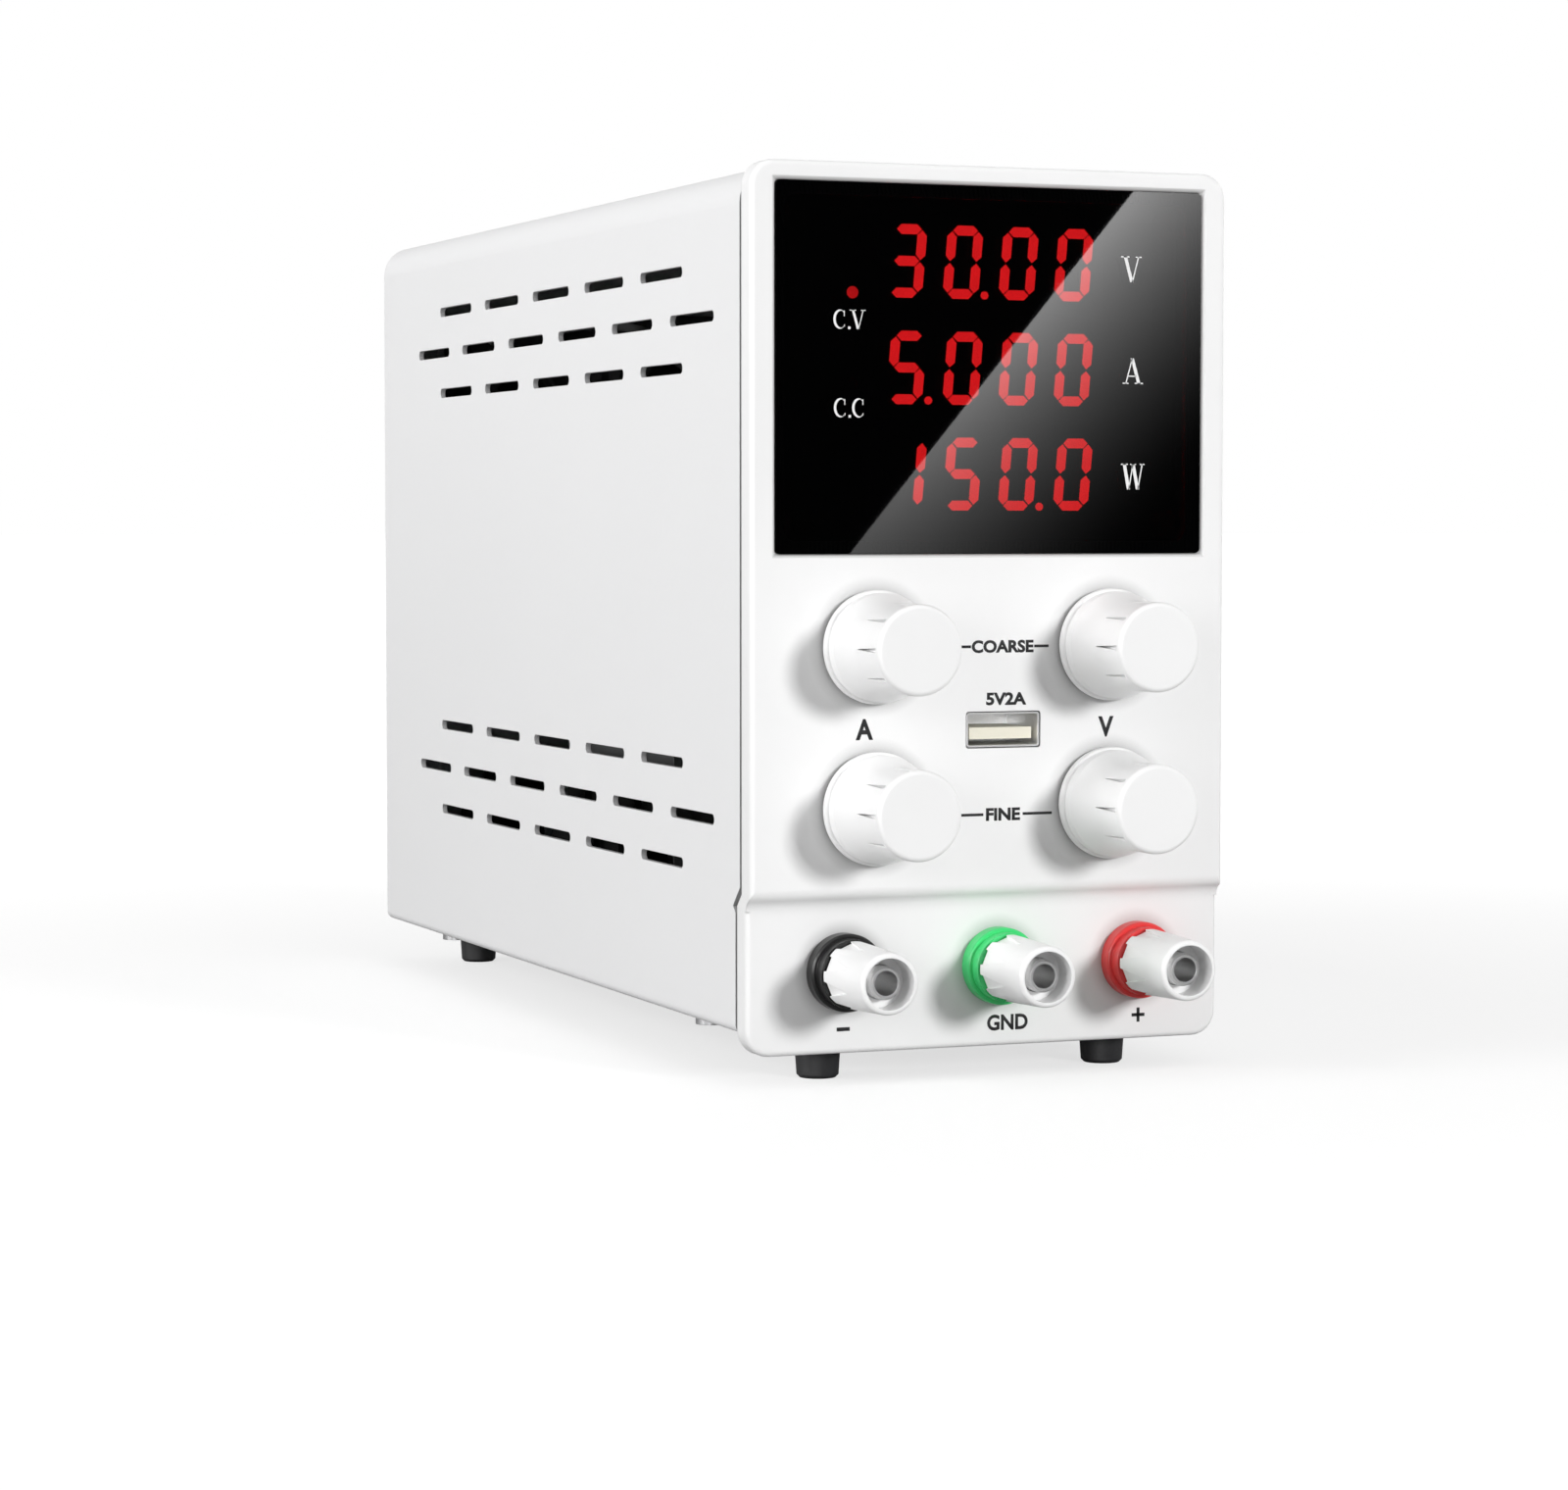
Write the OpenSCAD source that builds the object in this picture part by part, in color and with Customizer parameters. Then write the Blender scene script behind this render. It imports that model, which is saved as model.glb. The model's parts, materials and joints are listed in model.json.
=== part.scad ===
// Bench power supply: moulded front bezel with a display window, four setting knobs and three
// binding posts, a vented sheet-metal cover, and a rear panel with a fan, a mains inlet and a switch.
// Millimetres. +X is to the right seen from the front, +Y goes to the rear, +Z is up.
// The origin is on the floor, below the middle of the whole product.

/* [Case] */
// Width of the case
case_w = 85; // [84:1:96]
// Height of the front bezel
bezel_h = 144.2; // [143:0.1:160]
// Depth from the front face to the rear panel
case_d = 212; // [205:1:250]
// Height of the bezel's lower edge above the floor
foot_gap = 5; // [4:0.5:8]
// Thickness of the cover's sheet
cover_t = 1; // [0.8:0.1:1.2]
// Outer radius of the cover's upper bends
cover_bend_r = 6; // [4:0.5:8]

/* [Front bezel] */
// Depth of the bezel's side band
bezel_band = 3.9; // [3.5:0.1:6]
// Radius of the bezel's four corners
corner_r = 4.2; // [3.6:0.1:5]
// Rounding of the bezel's front edges
edge_r = 0.9; // [0.5:0.1:1.2]
// Thickness of the bezel's front wall
wall_t = 3; // [2.5:0.1:3.5]
// Height of the terminal field below the sloped step
field_h = 25.4; // [24:0.1:27]
// How far the terminal field lies behind the face
field_step = 2; // [1:0.1:2.5]

/* [Display] */
// Width of the display window
window_w = 76; // [74:0.5:77]
// Height of the display window
window_h = 59.6; // [58:0.2:60]
// Distance between the digits of a row
digit_pitch = 10; // [9:0.1:10]
// Height of a digit
digit_h = 11.9; // [10:0.1:13]
// Distance between the rows
row_pitch = 17.25; // [16.5:0.05:17.5]

/* [Knobs] */
// Distance between the two columns of knobs
knob_dx = 42; // [40:0.5:44]
// Distance between the two rows of knobs
knob_dz = 26.2; // [24:0.1:28]
// Diameter of a knob's skirt
knob_d = 18.5; // [16:0.1:20]
// Diameter of a knob's face
knob_face_d = 14.6; // [12:0.1:15]
// Distance from the front face to the face of a knob
knob_reach = 19; // [17:0.5:24]
// Number of grip grooves round a knob
knob_grooves = 9; // [6:1:12]

/* [Binding posts] */
// Distance from the middle line to the negative post
post_left = 25.6; // [24:0.1:27]
// Distance from the middle line to the positive post
post_right = 27.4; // [25:0.1:28]
// Distance from the middle line to the ground post
post_mid = 2; // [0:0.1:3]
// Diameter of the 4 mm socket's bore
socket_d = 4; // [4:0.02:4.1]
// Diameter of a post's collar
collar_d = 12.8; // [12:0.1:13]
// Distance from the terminal field to the front of a post
post_reach = 19.6; // [18:0.2:22]

/* [Vents] */
// Length of a side slot
slot_l = 21; // [16:0.5:23]
// Height of a side slot
slot_h = 1.8; // [1.4:0.1:2.2]
// Distance between the slots of a row
slot_pitch = 29.8; // [28:0.1:31]

/* [Hidden] */

$fn = 48;
eps = 0.01;
rocker_l = 15.6;
rocker_w = 9.6;
rocker_tilt = 11;
rocker_set = 1.6;                                 // pivot below the outside of the rear panel
rocker_rise = 4.6;                                // ends of the rocker above its pivot
// What stands out behind the rear panel: the raised end of the rocker.
rear_reach = rocker_rise * cos(rocker_tilt) + rocker_l / 2 * sin(rocker_tilt) - rocker_set;
depth_all = knob_reach + case_d + rear_reach;
face_y = knob_reach - depth_all / 2;              // upper front face
field_y = face_y + field_step;                    // terminal field
back_y = face_y + case_d;                         // outside of the rear panel
case_x = case_w / 2;

bezel_low = foot_gap;
bezel_top = bezel_low + bezel_h;
bezel_mid = (bezel_low + bezel_top) / 2;
cover_low = bezel_low + 3.5;
cover_top = bezel_top - 0.8;
cover_mid = (cover_top + cover_low) / 2;
cover_gap = 0.8;                                  // joint line between bezel and cover
step_low = bezel_low + field_h - field_step / 2;
step_high = step_low + field_step;
step_mid = bezel_low + field_h;
step_r = field_step;                              // the step is two arcs of 60 degrees
step_rise = step_r * sin(60);                     // height of each arc
skirt_gap = 0.3;
skirt_x = case_x - cover_t - skirt_gap;
skirt_t = 2;
skirt_back = 9.5;

window_z = bezel_top - 3.3 - window_h / 2;
window_t = 1.5;
window_set = 0.2;                                 // window face behind the bezel face
window_r = 0.8;
window_ledge = 2;
window_chamfer = 0.6;
row_z = [for (i = [1, 0, -1]) window_z + 0.4 + i * row_pitch];
digit_w = 6.3;
digit_mid = 1.15;                                 // middle of a row of digits
digit_x = [for (i = [0:3]) digit_mid + (i - 1.5) * digit_pitch];
module_face_y = face_y + wall_t + 0.6;
module_t = 7;
module_h = 16.4;
segment_t = 1.6;
segment_gap = 0.35;
segment_rise = 0.2;
slant = tan(5);
point_r = 0.65;
point_x = digit_w / 2 + 0.7;
display_board_y = module_face_y + module_t;
display_board_w = 77.2;
display_board_h = 57.2;
display_boss_x = 36.4;
display_boss_dz = 25;
boss_r = 2.6;
pilot_r = 1.1;                                    // pilot hole of a self-tapping screw
led_x = -23;
led_z = [row_z[0] - 5.2, row_z[1] - 2.8];         // above the voltage and current mode names
led_r = 1;

knob_z = [bezel_low + 66.2, bezel_low + 66.2 - knob_dz];
knob_gap = 0.4;
shaft_d = 6;
shaft_fit = 0.03;                                 // radial running clearance
shaft_flat = 1.6;                                 // flat of the D, from the axis
shaft_hole = 14;                                  // depth of the D hole in a knob
shaft_end = 0.5;                                  // play ahead of the shaft's end
knob_hollow = 3.6;                                // room for the nut and bushing under the skirt
bushing_d = 7;
pot_d = 17;
pot_t = 8;
board_t = 1.6;
control_board_y = face_y + wall_t + pot_t + 2;
board_boss_x = 35;
board_boss_z = (knob_z[0] + knob_z[1]) / 2 + 3;
upright_y = control_board_y + board_t + 1.4;      // front of the chassis uprights
bezel_boss_x = 36.2;
bezel_boss_z = [bezel_low + 12, bezel_low + 79];

usb_w = 13.1;
usb_h = 5.7;
usb_wall = 0.3;
tongue_w = 11.2;
tongue_t = 1.9;
tongue_low = -1.55;                               // lower face of the tongue, from the port's middle
usb_x = 2;
usb_z = bezel_low + 52.4;
usb_l = control_board_y - face_y;

post_x = [-post_left, post_mid, post_right];
post_z = bezel_low + 13.4;
stud_d = 5.4;
stud_fit = 0.05;                                  // radial clearance of the parts on a stud
stud_back = 15;
socket_l = 10;                                    // depth of the 4 mm bore
cap_d = 11;
cap_flutes = 8;
flute_l = 8.5;
flute_w = 2.8;
flute_depth = 0.5;
collar_h = 4.8;
cap_back = collar_h + 0.4;                        // cap's rear face, ahead of the field
insert_set = 0.8;                                 // insert ahead of the cap's rear face
insert_r = 3.9;
insert_l = 6;
recess_r = 4.15;                                  // recess round the socket in the cap's end
recess_l = 4.5;

pan_t = 1.2;
pan_low = cover_low + cover_t;
pan_x = case_x - cover_t - 0.1;
panel_t = 1.5;
panel_in = back_y - panel_t;
flange_w = 9;
screw_r = 1.25;
cover_screw_x = case_x - 5.2;
cover_screw_y = [face_y + 32, back_y - 32];
rear_screw_x = case_x - 6.4;
rear_screw_z = [cover_low + 8, cover_top - 12];

bottom_gap = 6;                                   // room for the solder side of the main board
board_z = pan_low + pan_t + bottom_gap;
board_top = board_z + board_t;
board_front = face_y + 32;
board_back = back_y - 30;
board_w = 74;
board_inset = 5;                                  // standoffs from the edges of the main board
control_board_w = 76;

fan_size = 60;
fan_t = 20;
fan_z = cover_mid + 26;
fan_hole = 50;
fan_bore = 57;
fan_hub_r = 11.6;
spindle_r = 1.4;
blades = 7;
blade_sweep = 38;                                 // degrees from front to back
blade_t = 1.2;
inlet_x = 16;
inlet_z = cover_low + 34;
inlet_w = 27.4;
inlet_h = 38;
switch_x = -20;
switch_w = 13;
switch_h = 19.2;
switch_z = cover_low + 26;
selector_z = cover_low + 49;
selector_w = 10;
selector_h = 6;
selector_l = 8;

foot_x = 26;
foot_y = [face_y + skirt_back + 2.5, back_y - 11];

// ---------- shared shapes ----------

// Places a turned part so that its own +Z points out of the front.
module on_front(x, y, z) {
  translate([x, y, z])
    rotate([90, 0, 0])
      children();
}

// Places a part so that its own +Z points out of the rear and its own +Y is up.
module on_rear(x, y, z) {
  translate([x, y, z])
    rotate([90, 0, 180])
      children();
}

// Stands a flat outline drawn in width and height across the case, from y0 to y1.
module across(y0, y1) {
  translate([0, y1, 0])
    rotate([90, 0, 0])
      linear_extrude(y1 - y0)
        children();
}

module round_rect(w, h, r) {
  square([w - 2 * r, h], center = true);
  square([w, h - 2 * r], center = true);
  for (sx = [-1, 1], sy = [-1, 1])
    translate([sx * (w / 2 - r), sy * (h / 2 - r)])
      circle(r);
}

module tube(r_out, r_in, h) {
  difference() {
    cylinder(r = r_out, h = h);
    translate([0, 0, -1])
      cylinder(r = r_in, h = h + 2);
  }
}

module slot(l, w) {
  square([l - w, w], center = true);
  for (s = [-1, 1])
    translate([s * (l - w) / 2, 0])
      circle(w / 2);
}

// Section of a plate whose front edges are rounded: width across, front at the top.
module soft_section(w, e, d) {
  translate([-w / 2, -d])
    square([w, d - e]);
  translate([-w / 2 + e, -d])
    square([w - 2 * e, d]);
  for (s = [-1, 1])
    translate([s * (w / 2 - e), -e])
      circle(e);
}

// Plate with round corners and rounded front edges. Its front is at z = 0.
module soft_plate(w, h, r, e, d) {
  rotate([90, 0, 0])
    linear_extrude(h - 2 * r, center = true)
      soft_section(w, e, d);
  rotate([90, 0, 90])
    linear_extrude(w - 2 * r, center = true)
      soft_section(h, e, d);
  for (sx = [-1, 1], sy = [-1, 1])
    translate([sx * (w / 2 - r), sy * (h / 2 - r), 0])
      rotate_extrude() {
        translate([0, -d])
          square([r, d - e]);
        translate([0, -d])
          square([r - e, d]);
        translate([r - e, -e])
          circle(e);
      }
}

module screw(head_r, head_h, shank_r, shank_h, slot_d = 0.8) {
  difference() {
    union() {
      cylinder(r = head_r, h = head_h);
      translate([0, 0, -shank_h])
        cylinder(r = shank_r, h = shank_h + eps);
    }
    for (a = [0, 90])
      rotate(a)
        translate([0, 0, head_h])
          cube([head_r * 1.2, head_r * 0.3, 2 * slot_d], center = true);
  }
}

// ---------- front bezel ----------

// Half space above the 45 degree plane behind the step.
module above_jog() {
  translate([0, face_y + bezel_band, step_high])
    rotate([-45, 0, 0])
      translate([0, 0, bezel_h])
        cube([2 * case_w, 2 * bezel_h, 2 * bezel_h], center = true);
}

// Section of what lies above the step: its edge rolls over to the back and runs out on the field.
module step_section() {
  translate([face_y - 1, step_mid + step_rise])
    square([bezel_band + 1, bezel_h]);
  translate([face_y + step_r, step_mid])
    square([bezel_band - step_r, step_rise + eps]);
  intersection() {
    translate([face_y + step_r, step_mid + step_rise])
      circle(step_r);
    translate([face_y, step_mid])
      square([2 * step_r, step_rise + eps]);
  }
  difference() {
    translate([field_y - step_r, step_mid - step_rise])
      square([bezel_band, step_rise + eps]);
    translate([field_y - step_r, step_mid - step_rise])
      circle(step_r);
  }
}

// The upper face and, set back, the terminal field: two rounded plates that meet at the step,
// and the skirt that goes into the cover.
module bezel_shell() {
  intersection() {
    on_front(0, face_y, bezel_mid)
      soft_plate(case_w, bezel_h, corner_r, edge_r, bezel_band);
    rotate([90, 0, 90])
      linear_extrude(2 * case_w, center = true)
        step_section();
  }
  difference() {
    on_front(0, field_y, bezel_mid)
      soft_plate(case_w, bezel_h, corner_r, edge_r, bezel_band);
    above_jog();
  }
  across(face_y + bezel_band - 1, face_y + skirt_back)
    cover_outline(cover_t + skirt_gap);
}

module bezel_hollow() {
  hollow_x = skirt_x - skirt_t;
  hollow_low = cover_low + cover_t + skirt_gap + skirt_t;
  hollow_top = cover_top - cover_t - skirt_gap - skirt_t;
  translate([-hollow_x, face_y + wall_t, step_low])
    cube([2 * hollow_x, skirt_back, hollow_top - step_low]);
  translate([-hollow_x, field_y + wall_t, hollow_low])
    cube([2 * hollow_x, skirt_back, hollow_top - hollow_low]);
}

// Section of the window's chamfer: it widens towards the front.
module flare(w) {
  low = window_chamfer + 0.1;
  high = 1;
  polygon([[-w / 2, -low], [w / 2, -low], [w / 2 + low + high, high], [-w / 2 - low - high, high]]);
}

module bezel_window_cut() {
  on_front(0, face_y, window_z) {
    translate([0, 0, -window_set - window_t])
      linear_extrude(wall_t)
        round_rect(window_w + 0.2, window_h + 0.2, window_r);
    translate([0, 0, -wall_t - 1])
      linear_extrude(wall_t + 1)
        round_rect(window_w - 2 * window_ledge, window_h - 2 * window_ledge, 2);
    intersection() {
      rotate([90, 0, 0])
        linear_extrude(2 * window_h, center = true)
          flare(window_w);
      rotate([90, 0, 90])
        linear_extrude(2 * window_w, center = true)
          flare(window_h);
    }
  }
}

module bezel_bosses() {
  for (s = [-1, 1]) {
    for (dz = [-1, 1])
      on_front(s * display_boss_x, display_board_y, window_z + dz * display_boss_dz)
        tube(boss_r - 0.2, pilot_r, display_board_y - face_y - wall_t + eps);
    on_front(s * board_boss_x, control_board_y, board_boss_z)
      tube(boss_r, pilot_r, control_board_y - face_y - wall_t + eps);
    for (z = bezel_boss_z)
      on_front(s * bezel_boss_x, upright_y, z)
        tube(boss_r + 0.1, screw_r + 0.05, upright_y - face_y - wall_t + eps);
  }
}

module front_bezel() {
  color("whitesmoke")
    difference() {
      union() {
        difference() {
          bezel_shell();
          bezel_hollow();
        }
        bezel_bosses();
      }
      bezel_window_cut();
      for (s = [-1, 1], z = knob_z)
        on_front(s * knob_dx / 2, face_y + wall_t + 1, z)
          cylinder(d = bushing_d + 0.3, h = wall_t + 2);
      for (x = post_x)
        on_front(x, field_y + wall_t + 1, post_z)
          cylinder(d = stud_d + 0.4, h = wall_t + 2);
      on_front(usb_x, face_y + wall_t + 1, usb_z)
        linear_extrude(wall_t + 2)
          round_rect(usb_w + 0.3, usb_h + 0.3, 0.5);
    }
}

// ---------- display ----------

module display_window() {
  color([0.03, 0.03, 0.035, 0.85])
    on_front(0, face_y + window_set, window_z)
      translate([0, 0, -window_t])
        linear_extrude(window_t)
          round_rect(window_w, window_h, window_r);
}

// The three rows as shown: 30.00 V, 5.000 A and 150.0 W, and the digit each point follows.
readout = [[3, 0, 0, 0], [5, 0, 0, 0], [1, 5, 0, 0]];
point_after = [1, 0, 2];
// Lit segments a to g of the digits 0, 1, 3 and 5. The digits 2 and 4 aren't shown.
segments_of = [[1, 1, 1, 1, 1, 1, 0], [0, 1, 1, 0, 0, 0, 0], [], [1, 1, 1, 1, 0, 0, 1], [],
  [1, 0, 1, 1, 0, 1, 1]];

module bar(l) {
  e = segment_t / 2;
  polygon([[-l / 2, 0], [-l / 2 + e, e], [l / 2 - e, e], [l / 2, 0], [l / 2 - e, -e], [-l / 2 + e, -e]]);
}

// One segment, counted from a at the top, clockwise, to g in the middle, leaning with the digit.
module segment(i) {
  half_w = (digit_w - segment_t) / 2;
  quarter = (digit_h - segment_t) / 4;
  flat_l = digit_w - segment_t - segment_gap;
  tall_l = 2 * quarter - segment_gap;
  rows = [2, 1, -1, -2, -1, 1, 0];
  cols = [0, 1, 1, 0, -1, -1, 0];
  upright = cols[i] != 0;
  z = rows[i] * quarter;
  translate([cols[i] * half_w + z * slant, z])
    rotate(upright ? 90 - atan(slant) : 0)
      bar(upright ? tall_l : flat_l);
}

module digit_solids(lit) {
  for (r = [0:2], c = [0:3]) {
    on = segments_of[readout[r][c]];
    on_front(digit_x[c], module_face_y, row_z[r])
      linear_extrude(segment_rise) {
        for (i = [0:6])
          if ((on[i] == 1) == lit)
            segment(i);
        if ((point_after[r] == c) == lit)
          translate([point_x, -digit_h / 2 + point_r])
            circle(point_r, $fn = 24);
      }
  }
}

module digits_lit() {
  color("red")
    digit_solids(true);
}

module digits_dark() {
  color("dimgray")
    digit_solids(false);
}

module digit_modules() {
  color("black")
    for (z = row_z)
      on_front(digit_mid, display_board_y, z)
        difference() {
          translate([0, 0, module_t / 2])
            cube([4 * digit_pitch + 0.2, module_h, module_t], center = true);
          for (s = [-1, 1])
            translate([0, s * module_h / 2, module_t * 0.3])
              cube([3 * digit_pitch, 1.2, module_t * 0.6], center = true);
        }
}

module mode_leds() {
  color("red")
    for (z = led_z)
      on_front(led_x, display_board_y, z) {
        cylinder(r = led_r, h = module_t - led_r);
        cylinder(r = led_r + 0.3, h = 1);
        translate([0, 0, module_t - led_r])
          sphere(led_r);
      }
}

module display_board() {
  color("darkgreen")
    difference() {
      translate([-display_board_w / 2, display_board_y, window_z - display_board_h / 2])
        cube([display_board_w, board_t, display_board_h]);
      for (s = [-1, 1], dz = [-1, 1])
        on_front(s * display_boss_x, display_board_y + board_t + 1, window_z + dz * display_boss_dz)
          cylinder(r = 1.3, h = board_t + 2);
    }
}

// ---------- knobs ----------

// Turned outline of a knob from the skirt at the panel to the round face, with the hollow
// behind it and the hub that takes the shaft.
module knob_body() {
  l = knob_reach - knob_gap;
  rs = knob_d / 2;
  rf = knob_face_d / 2;
  rim = 0.8;
  flare_l = 8.2;
  flare_r = 14;
  difference() {
    rotate_extrude()
      difference() {
        union() {
          translate([0, 0.5])
            square([rs, 0.8]);
          square([rs - 0.5, 1.8]);
          for (z = [0.5, 1.3])
            translate([rs - 0.5, z])
              circle(0.5);
          difference() {
            square([rf + 1.5, 2 + flare_l]);
            translate([rf + flare_r, 2 + flare_l])
              circle(flare_r, $fn = 96);
          }
          square([rf, l - rim]);
          square([rf - rim, l]);
          translate([rf - rim, l - rim])
            circle(rim);
        }
        square([rs - 1.6, knob_hollow]);
      }
    linear_extrude(shaft_hole)
      intersection() {
        circle(d = shaft_d);
        translate([-shaft_d, -shaft_d])
          square([shaft_d + shaft_flat + shaft_fit, 2 * shaft_d]);
      }
  }
}

module knob_groove() {
  l = knob_reach - knob_gap;
  groove_l = 7.2;
  groove_w = 0.75;
  translate([0, knob_face_d / 2 - 0.62, l - 1.1])
    rotate([-94.5, 0, 0])
      linear_extrude(3)
        polygon([[-groove_w / 2, 0], [groove_w / 2, 0], [0.05, groove_l], [-0.05, groove_l]]);
}

module knob(x, z) {
  color("white")
    on_front(x, face_y - knob_gap, z)
      difference() {
        knob_body();
        for (i = [0 : knob_grooves - 1])
          rotate(90 + i * 360 / knob_grooves)
            knob_groove();
      }
}

// D-shaped shaft from inside the knob to the wiper in the potentiometer.
module shaft(x, z) {
  inner = pot_t - 1.3;
  length = shaft_hole - shaft_end + knob_gap + wall_t + inner;
  flat_l = 10;
  color("silver")
    on_front(x, face_y + wall_t + inner, z)
      difference() {
        cylinder(d = shaft_d - 2 * shaft_fit, h = length);
        translate([shaft_flat, -shaft_d, length - flat_l])
          cube([shaft_d, 2 * shaft_d, flat_l + 1]);
      }
}

module potentiometers() {
  color("darkslategray")
    for (s = [-1, 1], z = knob_z)
      on_front(s * knob_dx / 2, face_y + wall_t, z) {
        difference() {
          union() {
            translate([0, 0, -pot_t])
              cylinder(d = pot_d, h = pot_t);
            cylinder(d = bushing_d, h = wall_t + 3.4);
            translate([-4.2, -pot_d / 2 - 3.6, -pot_t + 2])
              cube([8.4, pot_d / 2, 1.6]);
          }
          translate([0, 0, -pot_t + 1])
            cylinder(d = shaft_d, h = pot_t + wall_t + 4);
        }
        for (i = [-1, 0, 1])
          translate([i * 3 - 0.4, -pot_d / 2 - 3.2, -pot_t - 2])
            cube([0.8, 0.8, 4.4]);
      }
}

module pot_nuts() {
  color("silver")
    for (s = [-1, 1], z = knob_z)
      on_front(s * knob_dx / 2, face_y, z)
        difference() {
          union() {
            cylinder(r = 5.6, h = 0.6);
            cylinder(r = 5.6, h = 2.6, $fn = 6);
          }
          translate([0, 0, -1])
            cylinder(d = bushing_d, h = 5);
        }
}

// ---------- charging port ----------

module usb_shell() {
  color("silver")
    on_front(usb_x, face_y, usb_z)
      difference() {
        translate([0, 0, -usb_l])
          linear_extrude(usb_l - 0.1)
            round_rect(usb_w, usb_h, 0.5);
        translate([0, 0, -usb_l + 0.6])
          linear_extrude(usb_l)
            round_rect(usb_w - 2 * usb_wall, usb_h - 2 * usb_wall, 0.3);
      }
}

module usb_tongue() {
  color("ivory")
    on_front(usb_x, face_y, usb_z)
      translate([-tongue_w / 2, tongue_low, -usb_l + 0.6])
        cube([tongue_w, tongue_t, usb_l - 1.8]);
}

// ---------- binding posts ----------

// The collar sits on the terminal field, with a second, smaller ring in front.
module post_collar(x, tint) {
  color(tint)
    on_front(x, field_y, post_z)
      difference() {
        rotate_extrude() {
          square([collar_d / 2, 2.2]);
          square([collar_d / 2 - 0.4, 2.6]);
          translate([collar_d / 2 - 0.4, 2.2])
            circle(0.4);
          square([collar_d / 2 - 0.7, collar_h]);
        }
        translate([0, 0, -1])
          cylinder(r = stud_d / 2 + stud_fit, h = collar_h + 2);
      }
}

// The metal part: a tube with the 4 mm socket, a cross hole for bare wire, and the shank that
// goes through the panel.
module post_stud(x) {
  front = post_reach - 1.6;
  color("silver")
    on_front(x, field_y, post_z)
      difference() {
        union() {
          translate([0, 0, -stud_back])
            cylinder(d = stud_d, h = front + stud_back - 0.4);
          translate([0, 0, front - 0.5])
            cylinder(r1 = stud_d / 2, r2 = stud_d / 2 - 0.3, h = 0.5);
        }
        translate([0, 0, front - socket_l])
          cylinder(d = socket_d, h = post_reach);
        translate([0, 0, collar_h + 1.6])
          rotate([90, 0, 0])
            cylinder(d = 2.2, h = 2 * stud_d, center = true);
      }
}

// Threaded brass insert inside the cap. It carries the cap along the stud's thread.
module post_insert(x) {
  color("goldenrod")
    on_front(x, field_y, post_z)
      translate([0, 0, cap_back + insert_set])
        tube(insert_r, stud_d / 2 + stud_fit, insert_l);
}

module post_cap(x) {
  l = post_reach - cap_back;
  r0 = cap_d / 2;
  r1 = r0 - 0.5;
  color("white")
    on_front(x, field_y, post_z)
      translate([0, 0, cap_back])
        difference() {
          rotate_extrude()
            difference() {
              union() {
                polygon([[0, 0], [r0, 0], [r1, l - 0.7], [0, l - 0.7]]);
                square([r1 - 0.7, l]);
                translate([r1 - 0.7, l - 0.7])
                  circle(0.7);
              }
              translate([0, -l])
                square([stud_d / 2 + 2 * stud_fit, l * 3]);
              translate([0, insert_set - stud_fit])
                square([insert_r + stud_fit, insert_l + 2 * stud_fit]);
              translate([0, l - recess_l])
                square([recess_r, 2 * recess_l]);
            }
          for (i = [0 : cap_flutes - 1])
            rotate((i + 0.5) * 360 / cap_flutes)
              translate([0, r0 - flute_depth, -0.5])
                rotate([-88, 0, 0])
                  mirror([0, 1, 0])
                    linear_extrude(3)
                      polygon([[-flute_w / 2, 0], [flute_w / 2, 0], [0.1, flute_l], [-0.1, flute_l]]);
        }
}

// Rear insulating washers, nuts and solder lugs of the three posts.
module post_nuts() {
  color("silver")
    for (x = post_x)
      on_front(x, field_y + wall_t, post_z)
        difference() {
          union() {
            translate([0, 0, -1])
              cylinder(r = 5.4, h = 1);
            translate([0, 0, -4])
              cylinder(r = 5, h = 3, $fn = 6);
            translate([0, 0, -4.6])
              cylinder(r = 4.4, h = 0.6);
            translate([-2, 0, -4.6])
              cube([4, 12, 0.6]);
            translate([0, 0, -7.6])
              cylinder(r = 5, h = 3, $fn = 6);
          }
          translate([0, 0, -9])
            cylinder(r = stud_d / 2 + stud_fit, h = 10);
          translate([0, 9.5, -6])
            cylinder(r = 1, h = 3);
        }
}

// ---------- sheet metal ----------

// Outline of the cover seen from the front: round upper bends and tight lower ones.
module cover_outline(inset) {
  w = case_w - 2 * inset;
  top = cover_top - inset;
  low = cover_low + inset;
  r_top = cover_bend_r - inset;
  r_low = 1.5 - inset;
  translate([-w / 2, low + r_low])
    square([w, top - low - r_top - r_low]);
  translate([-w / 2 + r_top, low + r_low])
    square([w - 2 * r_top, top - low - r_low]);
  translate([-w / 2 + r_low, low])
    square([w - 2 * r_low, r_low + 1]);
  for (s = [-1, 1]) {
    translate([s * (w / 2 - r_top), top - r_top])
      circle(r_top);
    translate([s * (w / 2 - r_low), low + r_low])
      circle(r_low);
  }
}

// Rows of the side vents, from the top: height, and whether the row holds six slots or five.
vent_rows = [[cover_top - 15.4, 5], [cover_top - 23.4, 6], [cover_top - 31.4, 5],
  [cover_low + 42.6, 5], [cover_low + 34.1, 6], [cover_low + 25.8, 5]];
vent_mid_y = face_y + 101.5;

module cover_vents() {
  for (row = vent_rows, i = [0 : row[1] - 1])
    translate([0, vent_mid_y + (i - (row[1] - 1) / 2) * slot_pitch, row[0]])
      rotate([90, 0, 90])
        linear_extrude(case_w + 4, center = true)
          slot(slot_l, slot_h);
}

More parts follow.
